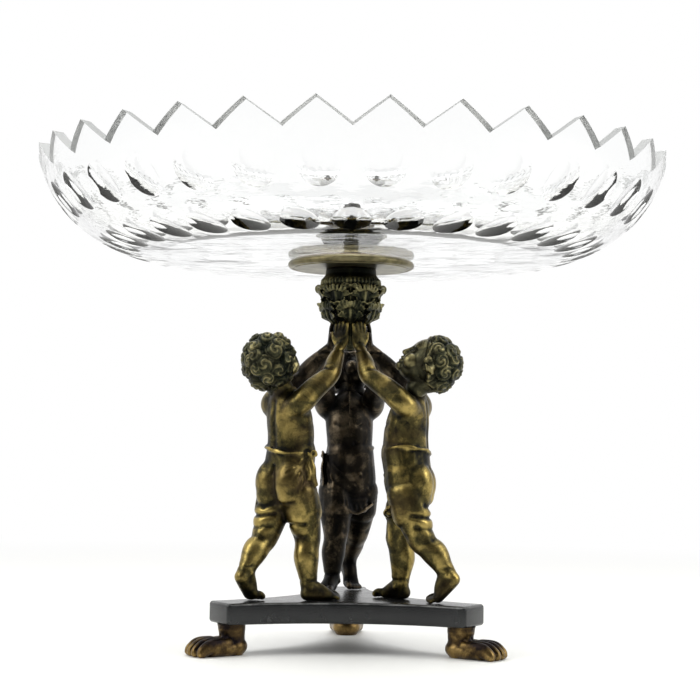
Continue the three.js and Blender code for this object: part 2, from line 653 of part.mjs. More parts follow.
// A short cloth wound tightly round the hips and the tops of the thighs. Its top edge goes in under a roll at
// the waist. It is knotted at the right hip, and in front it sags between the thighs.
function loincloth() {
  const more = 2 * CLOTH_THICKNESS;
  const across = () => acrossAt(HIP_TURN);
  const hipStations = [
    { at: spine(CLOTH_HEM_HEIGHT), width: 0.74 * HIP_WIDTH, depth: 0.74 * HIP_DEPTH },
    { at: spine(HIP_HEIGHT), width: HIP_WIDTH + more, depth: HIP_DEPTH + more },
    { at: spine((HIP_HEIGHT + WAIST_HEIGHT) / 2), width: 0.97 * HIP_WIDTH + more, depth: HIP_DEPTH + more },
    { at: spine(WAIST_HEIGHT, 0.75 * BACK_BEND), width: 0.94 * WAIST_WIDTH, depth: 0.94 * WAIST_DEPTH },
  ];
  const seat = (share, angle) => {
    const halves = Math.max(0, Math.sin(angle)) * Math.abs(Math.sin(2 * angle));
    return 1 + SEAT_SWELL * halves * Math.sin(Math.PI * Math.min(1, 1.4 * share));
  };
  const wrapped = loft(hipStations, { sides: 12, rings: 4, across, dome: 0.1, swell: seat });
  const sleeves = [-1, 1].map((side) => {
    const { hip, knee } = legPath(side);
    const stations = [
      { at: hip, width: 2.1 * THIGH_RADIUS },
      { at: hip.clone().lerp(knee, CLOTH_SLEEVE), width: 2 * THIGH_RADIUS + more },
    ];
    return loft(stations, { sides: 7, rings: 1, across, dome: 0 });
  });
  const front = spine(HIP_HEIGHT).addScaledVector(aheadAt(HIP_TURN), 0.42 * HIP_DEPTH);
  const swagStations = [1, 0, -1].map((side) => ({
    at: front.clone().addScaledVector(acrossAt(HIP_TURN), side * 0.3 * HIP_WIDTH)
      .add(vec(0, 0, side === 0 ? CLOTH_HEM_HEIGHT - HIP_HEIGHT : 0)),
    width: 4 * CLOTH_THICKNESS,
    depth: 3 * CLOTH_THICKNESS,
  }));
  const swag = loft(swagStations, { sides: 5, rings: 3, across: () => aheadAt(HIP_TURN) });
  const roll = new THREE.TorusGeometry(WAIST_WIDTH / 2, CLOTH_ROLL, 4, 9);
  roll.scale(WAIST_DEPTH / WAIST_WIDTH, 1, 1).rotateX(degrees(CLOTH_SLOPE)).rotateZ(degrees(HIP_TURN));
  const waist = spine(WAIST_HEIGHT, 0.75 * BACK_BEND);
  const knotAt = waist.clone().addScaledVector(acrossAt(HIP_TURN), -WAIST_WIDTH / 2);
  knotAt.z -= (Math.sin(degrees(CLOTH_SLOPE)) * WAIST_WIDTH) / 2;
  const hang = (share, out) => knotAt.clone().add(vec(share * 0.2 * TAIL_LENGTH, -out, -share * TAIL_LENGTH));
  const looseEnd = [
    { at: hang(0, 0), width: 0.7 * TAIL_WIDTH, depth: 0.6 * TAIL_WIDTH },
    { at: hang(0.5, KNOT_RADIUS), width: TAIL_WIDTH, depth: 0.6 * TAIL_WIDTH },
    { at: hang(1, KNOT_RADIUS), width: 0.9 * TAIL_WIDTH, depth: 0.5 * TAIL_WIDTH },
  ];
  return unite([
    wrapped,
    ...sleeves,
    swag,
    solid(roll.translate(waist.x, waist.y, waist.z)),
    ball(knotAt, [KNOT_RADIUS, KNOT_RADIUS, KNOT_RADIUS], 5, 4),
    loft(looseEnd, { sides: 4, rings: 2, across: () => acrossAt(0) }),
  ]);
}

function headCentre() {
  return vec(-FIGURE_DISTANCE - HEAD_SETBACK, 0, SHOULDER_HEIGHT + HEAD_RISE);
}

// A child's round head under a cap of curls. Curls are the peaks of two crossed waves, left out over the
// face, where cheeks, chin and nose are soft swellings. It looks along +x before it is tilted.
function head(gap = 0) {
  const rows = CURLS_AROUND + 2;
  const shape = new THREE.SphereGeometry(1, 2 * CURLS_AROUND, rows).rotateX(Math.PI / 2);
  const place = shape.getAttribute('position');
  const bump = (p, x, y, z, width) => Math.exp(-p.distanceToSquared(vec(x, y, z).normalize()) / width ** 2);
  for (let i = 0; i < place.count; i++) {
    const p = vec(0, 0, 0).fromBufferAttribute(place, i);
    const azimuth = Math.atan2(p.y, p.x);
    const fromTop = Math.acos(THREE.MathUtils.clamp(p.z, -1, 1));
    const face = THREE.MathUtils.smoothstep(p.x - 0.5 * p.z, 0.55, 0.9);
    const curl = 0.5 + 0.5 * Math.cos(CURLS_AROUND * azimuth) * Math.cos(rows * fromTop);
    const cheeks = bump(p, 0.8, 0.4, -0.35, 0.35) + bump(p, 0.8, -0.4, -0.35, 0.35);
    const features = 0.08 * cheeks + 0.14 * bump(p, 0.7, 0, -0.7, 0.3) + 0.1 * bump(p, 1, 0, -0.12, 0.2);
    const radius = HEAD_RADIUS * (1 - 0.06 * face + features * face) + HAIR_CURL * curl * (1 - face) + gap;
    p.multiplyScalar(radius);
    p.y *= 0.93;
    place.setXYZ(i, p.x, p.y, p.z);
  }
  const at = headCentre();
  return solid(shape).rotate([0, -HEAD_TILT, SHOULDER_TURN]).translate(at.x, at.y, at.z);
}

function neck(gap = 0) {
  const top = headCentre();
  const width = 2 * (NECK_RADIUS + gap);
  const stations = [
    { at: spine(SHOULDER_HEIGHT - 0.5 * NECK_RADIUS, -0.5 * BACK_BEND), width: 1.3 * width },
    { at: spine(SHOULDER_HEIGHT + NECK_RADIUS, -1.5 * BACK_BEND), width },
    { at: top.clone().add(vec(0.15 * HEAD_RADIUS, 0, -0.5 * HEAD_RADIUS)), width },
  ];
  return loft(stations, { sides: 6, rings: 2, across: () => acrossAt(SHOULDER_TURN), dome: 0 });
}

// The path of an arm, from its socket in the shoulder to the wrist under the hand.
function armPath(side) {
  const socket = spine(SHOULDER_HEIGHT - 0.2 * UPPER_ARM_RADIUS, -0.5 * BACK_BEND);
  socket.addScaledVector(acrossAt(SHOULDER_TURN), (side * SHOULDER_SPAN) / 2);
  const elbow = vec(-ELBOW_DISTANCE, (side * ELBOW_SPAN) / 2, ELBOW_HEIGHT);
  const outward = around(FACING - side * HAND_TURN, 1);
  const palm = outward.clone().multiplyScalar(CAPITAL_STEM_RADIUS + FIT_GAP + HAND_THICKNESS / 2);
  palm.z = CAPITAL_TIP_HEIGHT + HAND_LIFT;
  const wrist = palm.clone().addScaledVector(outward, 0.5 * WRIST_RADIUS);
  return { socket, elbow, outward, palm, wrist, along: elbow.clone().sub(socket).normalize() };
}

function limb(side) {
  const { socket, elbow, wrist, along } = armPath(side);
  const shoulder = socket.clone().addScaledVector(along, -0.7 * UPPER_ARM_RADIUS);
  const stations = [
    { at: shoulder, width: 2 * UPPER_ARM_RADIUS },
    { at: socket.clone().lerp(elbow, 0.3), width: 2.2 * UPPER_ARM_RADIUS },
    { at: elbow, width: 2.1 * FOREARM_RADIUS },
    { at: elbow.clone().lerp(wrist, 0.45), width: 2.1 * FOREARM_RADIUS },
    { at: wrist, width: 2 * WRIST_RADIUS },
  ];
  return loft(stations, { sides: 6, rings: 5, across: () => vec(1, 0, 1), dome: 0.4 });
}

// The joint face of a separately cast arm, square to the upper arm.
function beyondJoint(side, gap) {
  const { socket, along } = armPath(side);
  return halfSpace(socket.clone().addScaledVector(along, ARM_CUT + gap), along);
}

function tenon(side, gap) {
  const { socket, along } = armPath(side);
  const start = socket.clone().addScaledVector(along, ARM_CUT - ARM_TENON_LENGTH - gap);
  const end = socket.clone().addScaledVector(along, ARM_CUT + ARM_TENON_ROOT);
  const radius = ARM_TENON_RADIUS + gap;
  const stations = [{ at: start, width: 2 * radius }, { at: end, width: 2 * radius }];
  return loft(stations, { sides: 6, rings: 1, across: () => upAxis.clone(), dome: 0 });
}

// An open hand laid flat against the capital's stem: palm, four fingers and a thumb.
function hand(side) {
  const { outward, palm } = armPath(side);
  const sideways = upAxis.clone().cross(outward);
  const across = () => sideways.clone();
  const palmLength = 0.5 * HAND_LENGTH;
  const at = (lift, aside, out) => palm.clone().addScaledVector(sideways, aside).addScaledVector(outward, out)
    .addScaledVector(upAxis, lift);
  const palmStations = [
    { at: at(0, 0, 0.3 * HAND_THICKNESS), width: 0.8 * HAND_WIDTH, depth: 1.1 * HAND_THICKNESS },
    { at: at(palmLength, 0, 0), width: HAND_WIDTH, depth: HAND_THICKNESS },
  ];
  const pitch = HAND_WIDTH / FINGER_COUNT;
  const fingerWidth = pitch - FINGER_GAP;
  const pieces = [loft(palmStations, { sides: 6, rings: 1, across, dome: 0.5 })];
  for (let i = 0; i < FINGER_COUNT; i++) {
    const place = i - (FINGER_COUNT - 1) / 2;
    const length = HAND_LENGTH * (1 - 0.08 * Math.abs(place));
    const finger = [
      { at: at(0.9 * palmLength, place * pitch, 0), width: fingerWidth, depth: 0.9 * HAND_THICKNESS },
      { at: at(length, place * pitch, 0), width: 0.9 * fingerWidth, depth: 0.7 * HAND_THICKNESS },
    ];
    pieces.push(loft(finger, { sides: 4, rings: 1, across, dome: 0.6 }));
  }
  const thumb = [
    { at: at(0.1 * HAND_LENGTH, side * 0.3 * HAND_WIDTH, 0), width: THUMB_WIDTH },
    { at: at(0.5 * HAND_LENGTH, side * 0.68 * HAND_WIDTH, 0), width: 0.8 * THUMB_WIDTH },
  ];
  pieces.push(loft(thumb, { sides: 4, rings: 1, across }));
  return unite(pieces);
}

function figureBody() {
  const stub = (side) => limb(side).subtract(beyondJoint(side, 0));
  const legs = [leg(-1), leg(1), plantedFoot(), trailingFoot()];
  const pieces = [torso(), ...legs, loincloth(), neck(), head(), stub(-1), stub(1)];
  const flat = halfSpace(vec(0, 0, SEAT_GAP), vec(0, 0, -1));
  const tangEnd = NUT_RECESS_DEPTH - SEAT_GAP - NUT_THICKNESS - PLINTH_THICKNESS;
  const tangs = tangPlaces().map((at) => rod(TANG_RADIUS, tangEnd, OVERSHOOT, at, 6));
  const cast = unite(pieces).subtract(flat);
  return cutAway(unite([cast, ...tangs]), [tenon(-1, BORE_GAP), tenon(1, BORE_GAP)]);
}

function arm(side) {
  const lowerLimb = limb(side).intersect(beyondJoint(side, FIT_GAP));
  const nearby = [torso(FIT_GAP), neck(FIT_GAP), head(FIT_GAP)];
  return cutAway(unite([lowerLimb, hand(side)]), nearby).add(tenon(side, 0));
}

function footNut(place) {
  const top = plinthBase + NUT_RECESS_DEPTH - SEAT_GAP;
  const hole = bore(TANG_RADIUS, plinthBase - OVERSHOOT, top + OVERSHOOT, place);
  return rod(NUT_RADIUS, top - NUT_THICKNESS, top, place, 6).subtract(hole);
}

// Assembly

function mesh(name, shape, material, parent) {
  const data = shape.getMesh();
  const geometry = new THREE.BufferGeometry();
  geometry.setAttribute('position', new THREE.BufferAttribute(data.vertProperties, data.numProp));
  geometry.setIndex(new THREE.BufferAttribute(data.triVerts, 1));
  geometry.computeVertexNormals();
  const made = new THREE.Mesh(geometry, material);
  made.name = name;
  parent.add(made);
}

const centrepiece = new THREE.Group();
mesh('glass_bowl', bowl(), glass, centrepiece);
mesh('finial_nut', finialNut(), plateBrass, centrepiece);
mesh('finial_washer', ringDisc(WASHER_RADIUS, washerBase, washerTop, 24), leather, centrepiece);
mesh('glass_pad', ringDisc(PAD_RADIUS, padBase, padTop, 32), leather, centrepiece);
mesh('centre_stud', centreStud(), steel, centrepiece);
mesh('bowl_plate', bowlPlate(), plateBrass, centrepiece);
mesh('leaf_capital', capital(), darkBronze, centrepiece);
mesh('plinth', plinth(), blackPatina, centrepiece);

const bodyCasting = figureBody();
const leftArmCasting = arm(1);
const rightArmCasting = arm(-1);
const pawCasting = paw();
for (const [name, azimuth] of Object.entries(FIGURES)) {
  const bronze = name === 'back' ? darkBronze : gildedBronze;
  const figure = new THREE.Group();
  figure.rotation.z = degrees(azimuth - FACING);
  figure.position.z = plinthTop;
  mesh(`putto_body_${name}`, bodyCasting, bronze, figure);
  mesh(`putto_left_arm_${name}`, leftArmCasting, bronze, figure);
  mesh(`putto_right_arm_${name}`, rightArmCasting, bronze, figure);
  centrepiece.add(figure);

  const corner = new THREE.Group();
  corner.rotation.z = degrees(azimuth);
  corner.position.copy(around(azimuth, PAW_DISTANCE));
  mesh(`paw_${name}`, pawCasting, pawBronze, corner);
  mesh(`paw_stud_${name}`, pawStud(), steel, corner);
  centrepiece.add(corner);

  tangPlaces().forEach((place, i) => {
    const foot = i === 0 ? 'right' : 'left';
    place.applyAxisAngle(upAxis, degrees(azimuth - FACING));
    mesh(`${foot}_foot_nut_${name}`, footNut(place), steel, centrepiece);
  });
}

export default centrepiece;
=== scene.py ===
import math
import random

import bmesh
import bpy
import numpy as np
from mathutils import Matrix, Vector


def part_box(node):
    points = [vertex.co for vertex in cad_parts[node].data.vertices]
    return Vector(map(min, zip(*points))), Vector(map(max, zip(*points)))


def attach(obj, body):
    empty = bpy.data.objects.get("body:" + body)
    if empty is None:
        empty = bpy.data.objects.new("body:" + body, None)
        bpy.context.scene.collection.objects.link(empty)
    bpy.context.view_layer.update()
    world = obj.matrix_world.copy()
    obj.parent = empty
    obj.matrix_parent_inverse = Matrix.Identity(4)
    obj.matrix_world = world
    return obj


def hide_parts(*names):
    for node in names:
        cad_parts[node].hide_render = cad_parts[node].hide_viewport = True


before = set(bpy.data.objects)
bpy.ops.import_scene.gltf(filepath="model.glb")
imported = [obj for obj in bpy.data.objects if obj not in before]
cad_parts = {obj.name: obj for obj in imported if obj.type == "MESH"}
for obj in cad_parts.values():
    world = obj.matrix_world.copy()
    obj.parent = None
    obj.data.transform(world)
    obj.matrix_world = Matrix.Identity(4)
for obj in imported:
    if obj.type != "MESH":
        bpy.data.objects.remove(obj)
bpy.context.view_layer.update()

# Plinth: a heavy bronze casting with a black patina, three flat corners joined by hollow sides. The figures
# stand on it, and the paws are screwed under its corners. Every section works in millimetres, and piece()
# brings a finished mesh into the frame.
MILLIMETRE = 0.001
CORNERS = {"front_left": 210, "front_right": 330, "back": 90}  # azimuth of each corner, in degrees
PLINTH_CORNER_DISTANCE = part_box("plinth")[1].y / MILLIMETRE
PLINTH_CORNER_WIDTH = 21.8
PLINTH_SIDE_HOLLOW = 15
PLINTH_EDGE_ROUND = 1.7


def measured(box):
    """Base, top and half width of a solid's box, in millimetres."""
    low, high = box
    return low.z / MILLIMETRE, high.z / MILLIMETRE, high.x / MILLIMETRE


PLINTH_BASE, PLINTH_TOP, _ = measured(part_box("plinth"))


def spun(azimuth):
    """A turn about the axis, in degrees."""
    return Matrix.Rotation(math.radians(azimuth), 4, "Z")


def around(azimuth, distance, aside=0.0):
    """A point at a distance from the axis, a little aside to the left of that direction."""
    return spun(azimuth) @ Vector((distance, aside, 0))


def shaded(mesh, sharp_angle):
    """Smooth shading, with an edge kept wherever two faces meet at more than an angle in degrees."""
    mesh.shade_smooth()
    mesh.set_sharp_from_angle(angle=math.radians(sharp_angle))


def placed(name, data):
    made = bpy.data.objects.new(name, data)
    bpy.context.scene.collection.objects.link(made)
    return made


def piece(name, mesh, materials, slot, *nodes):
    """A finished mesh, in millimetres, becomes a piece in the frame that stands for CAD nodes."""
    mesh.name = name
    mesh.transform(Matrix.Scale(MILLIMETRE, 4))
    if list(mesh.materials) != materials:
        mesh.materials.clear()
        for material in materials:
            mesh.materials.append(material)
    made = placed(name, mesh)
    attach(made, "root")
    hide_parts(*nodes)


def mesh_of(bm):
    mesh = bpy.data.meshes.new("part")
    bm.normal_update()
    bm.to_mesh(mesh)
    bm.free()
    return mesh


def node_maker(tree):
    """Gives a function that adds a node, or feeds a ready one. Inputs go by number or name."""

    def node(made, *numbered, **named):
        if isinstance(made, str):
            made = tree.nodes.new(made)
        inputs = list(enumerate(numbered))
        for key, value in named.items():
            if key[0].islower():
                setattr(made, key, value)
            else:
                inputs.append((key.replace("_", " "), value))
        for key, value in inputs:
            socket = made.inputs[key]
            if isinstance(value, bpy.types.NodeSocket):
                tree.links.new(value, socket)
            else:
                socket.default_value = (*value, 1) if socket.type == "RGBA" else value
        return made

    return node


def finish_nodes(name):
    """A new material, its shader, a maker of nodes, and a place on the object for its patterns."""
    material = bpy.data.materials.new(name)
    material.use_nodes = True
    node = node_maker(material.node_tree)
    place = node("ShaderNodeTexCoord").outputs["Object"]
    return material, material.node_tree.nodes["Principled BSDF"], node, place


def noise(node, place, scale, detail, roughness=0.5, distortion=0.0):
    settings = {"Scale": scale, "Detail": detail, "Roughness": roughness, "Distortion": distortion}
    return node("ShaderNodeTexNoise", Vector=place, **settings).outputs["Fac"]


def colour_ramp(node, factor, *stops):
    ramp = node("ShaderNodeValToRGB", factor)
    ends = ramp.color_ramp.elements
    ends[0].position, ends[1].position = stops[0][0], stops[-1][0]
    ends[0].color, ends[1].color = (*stops[0][1], 1), (*stops[-1][1], 1)
    for position, colour in stops[1:-1]:
        ends.new(position).color = (*colour, 1)
    return ramp.outputs["Color"]


def blend_colours(node, factor, first, second):
    """Mixes two colours, each an output of another node or a plain colour, by a factor."""
    return node("ShaderNodeMix", data_type="RGBA", Factor=factor, A=first, B=second).outputs[2]


def spread(node, factor, low, high):
    return node("ShaderNodeMapRange", Value=factor, To_Min=low, To_Max=high).outputs["Result"]


def bump(node, height, strength, distance, **under):
    made = node("ShaderNodeBump", Height=height, Strength=strength, Distance=distance, **under)
    return made.outputs["Normal"]


def black_patina():
    """Black patina, satin, grey along the upward-facing edges: partly rubbed wear, partly a painted
    highlight.
    """
    material, shader, node, place = finish_nodes("black_patina")
    cloud = noise(node, place, 90.0, 6.0, 0.6)
    grain = noise(node, place, 1400.0, 4.0)
    facing = node("ShaderNodeSeparateXYZ", node("ShaderNodeTexCoord").outputs["Normal"]).outputs["Z"]
    colour = colour_ramp(node, cloud, (0.3, (0.008, 0.0085, 0.009)), (0.7, (0.017, 0.018, 0.0185)))
    edge = colour_ramp(node, facing, (0.35, (0, 0, 0)), (0.62, (1, 1, 1)), (0.9, (0, 0, 0)))
    patch = colour_ramp(node, cloud, (0.42, (0.1, 0.1, 0.1)), (0.62, (0.75, 0.75, 0.75)))
    # The grey on the upward-facing bevels is partly rubbed wear and partly a painted highlight.
    wear_and_shading = node("ShaderNodeMath", edge, patch, operation="MULTIPLY").outputs[0]
    node(shader, Base_Color=blend_colours(node, wear_and_shading, colour, (0.2, 0.2, 0.19)), Metallic=0.2,
         Roughness=spread(node, cloud, 0.14, 0.34), Normal=bump(node, grain, 0.25, 0.0002))
    return material


def plinth_mesh():
    bm = bmesh.new()
    half_corner = PLINTH_CORNER_WIDTH / 2
    first = around(0, PLINTH_CORNER_DISTANCE, half_corner)
    last = around(120, PLINTH_CORNER_DISTANCE, -half_corner)
    half_chord = (last - first).length / 2
    radius = (half_chord**2 + PLINTH_SIDE_HOLLOW**2) / (2 * PLINTH_SIDE_HOLLOW)
    centre = (first + last) / 2
    centre = centre.normalized() * (centre.length + radius - PLINTH_SIDE_HOLLOW)
    sweep = -2 * math.asin(half_chord / radius)
    for azimuth in CORNERS.values():
        turned = spun(azimuth)
        corner = bm.verts.new(turned @ around(0, PLINTH_CORNER_DISTANCE, -half_corner))
        start = bm.verts.new(turned @ first)
        bm.edges.new((corner, start))
        bmesh.ops.spin(bm, geom=[start], cent=turned @ centre, axis=(0, 0, 1), angle=sweep, steps=40)
    bmesh.ops.remove_doubles(bm, verts=bm.verts, dist=0.01)
    bmesh.ops.contextual_create(bm, geom=bm.edges)
    bmesh.ops.translate(bm, verts=bm.verts, vec=(0, 0, PLINTH_BASE))
    rise = bmesh.ops.extrude_face_region(bm, geom=bm.faces[:])
    top = [made for made in rise["geom"] if isinstance(made, bmesh.types.BMVert)]
    bmesh.ops.translate(bm, verts=top, vec=(0, 0, PLINTH_TOP - PLINTH_BASE))
    bmesh.ops.recalc_face_normals(bm, faces=bm.faces)
    sharp = [edge for edge in bm.edges if edge.calc_face_angle(0) > math.radians(30)]
    bmesh.ops.bevel(
        bm, geom=sharp, offset=PLINTH_EDGE_ROUND, segments=6, profile=0.5, affect="EDGES", material=-1
    )
    return mesh_of(bm)


plinth = plinth_mesh()
shaded(plinth, 40)
piece("plinth", plinth, [black_patina()], "black_patina", "plinth")


# Steel fastenings under the plinth: a round stud in each paw, and under every figure two nuts that hold the
# threaded tangs of its feet. They are plain turned and milled pieces, darkened by age.
def aged_steel():
    material, shader, node, place = finish_nodes("aged_steel")
    blotches = noise(node, place, 500.0, 5.0)
    colour = colour_ramp(node, blotches, (0.35, (0.10, 0.085, 0.07)), (0.65, (0.28, 0.26, 0.23)))
    node(shader, Base_Color=colour, Metallic=1.0, Roughness=spread(node, blotches, 0.55, 0.3))
    return material


def refinished(name, material):
    """A solid that is kept as it is in the frame gets its finish."""
    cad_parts[name].data.materials.clear()
    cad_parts[name].data.materials.append(material)


steel = aged_steel()
for corner in CORNERS:
    for kept in ("paw_stud", "left_foot_nut", "right_foot_nut"):
        refinished(f"{kept}_{corner}", steel)


# Lion paws: three bronze castings, each a short leg over a broad foot with four bent toes. They are
# brown-gold where hands have rubbed them and dark between the toes. Their tops are faced flat.
_, PAW_TOP, _ = measured(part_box("paw_back"))
PAW_DISTANCE = 64.6
PAW_TOE_SPREAD = 4.5
PAW_VOXEL = 0.36


def round_bead(detail):
    bm = bmesh.new()
    bmesh.ops.create_icosphere(bm, subdivisions=detail, radius=1)
    return mesh_of(bm)


ROUND_BEADS = {detail: round_bead(detail) for detail in (1, 2, 3, 4)}


def bead(bm, place, half_sizes, turned=Matrix.Identity(4), detail=4):
    """One oval bead of wax. A ready bead is stretched and added, which stays quick in a large piece."""
    stretched = ROUND_BEADS[detail].copy()
    stretched.transform(Matrix.Translation(Vector(place)) @ turned @ Matrix.Diagonal((*half_sizes, 1)))
    bm.from_mesh(stretched)
    bpy.data.meshes.remove(stretched)


def strand(bm, stations, across, detail=3, spacing=0.3):
    """Beads on a smooth path. A station is a place, a half width along "across" and a half depth."""
    rows = np.array([[*place, wide, deep] for place, wide, deep in stations], dtype=float)
    ends = np.vstack([2 * rows[0] - rows[1], rows, 2 * rows[-1] - rows[-2]])
    length = np.linalg.norm(np.diff(rows[:, :3], axis=0), axis=1).sum()
    count = max(3, int(length / (spacing * rows[:, 3:].min())) + 1)
    places = np.linspace(0, len(rows) - 1, count)
    first = np.minimum(places.astype(int), len(rows) - 2)
    part = (places - first)[:, None]
    before, start, end, after = (ends[first + step] for step in range(4))
    bend = (2 * before - 5 * start + 4 * end - after) * part**2
    twist = (3 * start - before - 3 * end + after) * part**3
    smooth = 0.5 * (2 * start + (end - before) * part + bend + twist)
    for i, row in enumerate(smooth):
        along = Vector(smooth[min(i + 1, count - 1), :3] - smooth[max(i - 1, 0), :3]).normalized()
        wide = Vector(across).normalized()
        wide = (wide - wide.dot(along) * along).normalized()
        turned = Matrix((wide, along.cross(wide), along)).transposed().to_4x4()
        bead(bm, row[:3], (row[3], row[4], min(row[3], row[4])), turned, detail)


def cast_skin(bm, voxel, smoothing=4):
    """The beads run together into one closed skin, as wax is modelled before it is cast."""
    rough = placed("wax", mesh_of(bm))
    melt = rough.modifiers.new("melt", "REMESH")
    melt.mode = "VOXEL"
    melt.voxel_size = voxel
    melt.use_smooth_shade = True
    ease = rough.modifiers.new("ease", "SMOOTH")
    ease.factor = 0.5
    ease.iterations = smoothing
    skin = bpy.data.meshes.new_from_object(rough.evaluated_get(bpy.context.evaluated_depsgraph_get()))
    wax = rough.data
    bpy.data.objects.remove(rough)
    bpy.data.meshes.remove(wax)
    return skin


def surface(mesh):
    """The points and normals of a mesh, as arrays."""
    points = np.empty(len(mesh.vertices) * 3)
    normals = np.empty(len(mesh.vertices) * 3)
    mesh.vertices.foreach_get("co", points)
    mesh.vertices.foreach_get("normal", normals)
    return points.reshape(-1, 3), normals.reshape(-1, 3)


def reshape(mesh, points):
    mesh.vertices.foreach_set("co", points.ravel())
    mesh.update()


def near(points, path, width):
    """How near each point is to a path of points: 1 on it, falling away over a width."""
    path = np.array([list(place) for place in path], dtype=float)
    least = np.linalg.norm(points - path[0], axis=1)
    for start, end in zip(path[:-1], path[1:]):
        along = end - start
        share = np.clip((points - start) @ along / (along @ along), 0, 1)
        least = np.minimum(least, np.linalg.norm(points - start - share[:, None] * along, axis=1))
    return np.exp(-((least / width) ** 2))


def fade(values, start, end):
    """0 before a start and 1 after an end, rising evenly between them. The end may be the lower one."""
    return np.clip((values - start) / (end - start), 0, 1)


def marks(points, rows, side=1):
    """The sum of marks at each point. A mark is an amount, a width and a path, mirrored in y for side -1."""
    total = np.zeros(len(points))
    for amount, width, *path in rows:
        total += amount * near(points, [(x, side * y, z) for x, y, z in path], width)
    return total


def averaged(mesh, values, rounds):
    """Values at the points, averaged with their neighbours' over and over."""
    ends = np.empty(len(mesh.edges) * 2, dtype=np.int32)
    mesh.edges.foreach_get("vertices", ends)
    first, last = ends.reshape(-1, 2).T
    count = np.bincount(ends, minlength=len(values))
    values = values.copy()
    for _ in range(rounds):
        for axis in range(values.shape[1]):
            column = values[:, axis]
            total = np.bincount(first, column[last], len(column))
            total += np.bincount(last, column[first], len(column))
            values[:, axis] = 0.5 * column + 0.5 * total / count
    return values


def relief(mesh, rounds=60):
    """How far each point stands out of a softened copy of the surface, in millimetres."""
    points, normals = surface(mesh)
    return np.einsum("ij,ij->i", points - averaged(mesh, points, rounds), normals)


def paint(mesh, name, values):
    """Keeps a value for each point, between 0 and 1, for the material to read."""
    layer = mesh.attributes.new(name, "FLOAT", "POINT")
    layer.data.foreach_set("value", np.clip(values, 0, 1).astype(np.float32))


PLAIN = 0.3  # the value of "wear_and_shading" on a surface that is neither rubbed, hollow nor painted with shade
PATCHY, FLECKED = 2.0, 0.45  # how much the bareness varies in patches and in flecks


def cast_bronze(name, colours, bare):
    """Patinated bronze: bright where it stands out, dark in the hollows and where shade is painted, stained
    in patches.
    """
    dark, middle, bright, stain = colours
    material, shader, node, place = finish_nodes(name)
    # wear_and_shading holds rubbed wear and patina in the hollows, and also painted shade.
    wear_and_shading = node("ShaderNodeAttribute", attribute_name="wear_and_shading").outputs["Fac"]
    cloud = noise(node, place, 105.0, 8.0, 0.6, 0.5)
    speck = noise(node, place, 900.0, 5.0, 0.65)
    grain = noise(node, place, 2600.0, 3.0)
    least = bare - 0.5 * (PATCHY + FLECKED) - PLAIN
    mottle = node("ShaderNodeMath", cloud, PATCHY, least, operation="MULTIPLY_ADD").outputs[0]
    fleck = node("ShaderNodeMath", speck, FLECKED, mottle, operation="MULTIPLY_ADD").outputs[0]
    total = node("ShaderNodeMath", fleck, wear_and_shading, operation="ADD", use_clamp=True).outputs[0]
    colour = colour_ramp(node, total, (0.12, dark), (0.48, middle), (0.92, bright))
    drift = node("ShaderNodeMapping", Vector=place, Location=(0.31, 0.17, 0.05)).outputs["Vector"]
    patches = noise(node, drift, 48.0, 6.0, 0.55)
    stained = node("ShaderNodeMapRange", Value=patches, From_Min=0.48, From_Max=0.72, To_Max=0.75)
    pits = bump(node, speck, 0.3, 0.0002)
    node(shader, Base_Color=blend_colours(node, stained.outputs["Result"], colour, stain), Metallic=1.0,
         Roughness=spread(node, total, 0.5, 0.3), Normal=bump(node, grain, 0.2, 0.00006, Normal=pits))
    return material


def paw_mesh():
    bm = bmesh.new()
    sideways = (0, 1, 0)
    strand(bm, [((-0.6, 0, 4.4), 7.2, 6.6), ((-0.4, 0, 8), 6.6, 6.2), ((0, 0, 16), 7.1, 7.1)], sideways)
    bead(bm, (-0.5, 0, 4.2), (7.4, 7.6, 5.2))
    strand(bm, [((-1.5, 0, 3.4), 7.2, 4.2), ((5, 0, 3.8), 8.4, 4.8), ((12, 0, 3.2), 8.8, 4.2)], sideways)
    for toe in (-1.5, -0.5, 0.5, 1.5):
        aside = toe * PAW_TOE_SPREAD
        tip = 20.2 - 0.9 * abs(toe)
        joints = [
            ((4, 0.8 * aside, 5.6), 2.4, 3.2),
            ((0.52 * tip, 0.96 * aside, 5.5), 2.6, 3.4),
            ((0.78 * tip, 1.02 * aside, 4.9), 2.6, 3.5),
            ((0.96 * tip, 1.03 * aside, 3), 2.5, 2.9),
            ((tip + 0.5, 1.03 * aside, 2), 2.2, 2),
        ]
        strand(bm, joints, sideways)
    mesh = cast_skin(bm, PAW_VOXEL, 3)
    points, normals = surface(mesh)
    clefts = [1.02 * PAW_TOE_SPREAD * place for place in (-1, 0, 1)]
    furrows = [(-0.7, 0.8, (5, y, 9.6), (11, y, 9), (16, y, 8), (21, y, 4)) for y in clefts]
    fold = (-0.5, 1.1, (6.4, -7, 9.5), (7.2, 0, 10.4), (6.4, 7, 9.5))
    points += normals * marks(points, (*furrows, fold))[:, None]
    points[:, 2] = np.clip(points[:, 2], 0, PAW_TOP)
    reshape(mesh, points)
    # Painted shade: darker on the toe tops, the upper leg and the sole.
    toe_tops = fade(points[:, 0], 6, 10) * fade(points[:, 2], 5, 7.5)
    leg, sole = points[:, 2] > 12.5, points[:, 2] < 0.4
    paint(mesh, "wear_and_shading", PLAIN + 0.9 * relief(mesh) - 0.55 * toe_tops - 0.15 * leg - 0.2 * sole)
    return mesh


PAW_COLOURS = ((0.013, 0.010, 0.011), (0.08, 0.052, 0.022), (0.27, 0.18, 0.065), (0.035, 0.022, 0.012))
paw_bronze = cast_bronze("paw_bronze", PAW_COLOURS, 0.46)
paw = paw_mesh()
for corner, azimuth in CORNERS.items():
    cast = paw.copy()
    cast.transform(Matrix.Translation(around(azimuth, PAW_DISTANCE)) @ spun(azimuth))
    shaded(cast, 60)
    piece(f"paw_{corner}", cast, [paw_bronze], "paw_bronze", f"paw_{corner}")


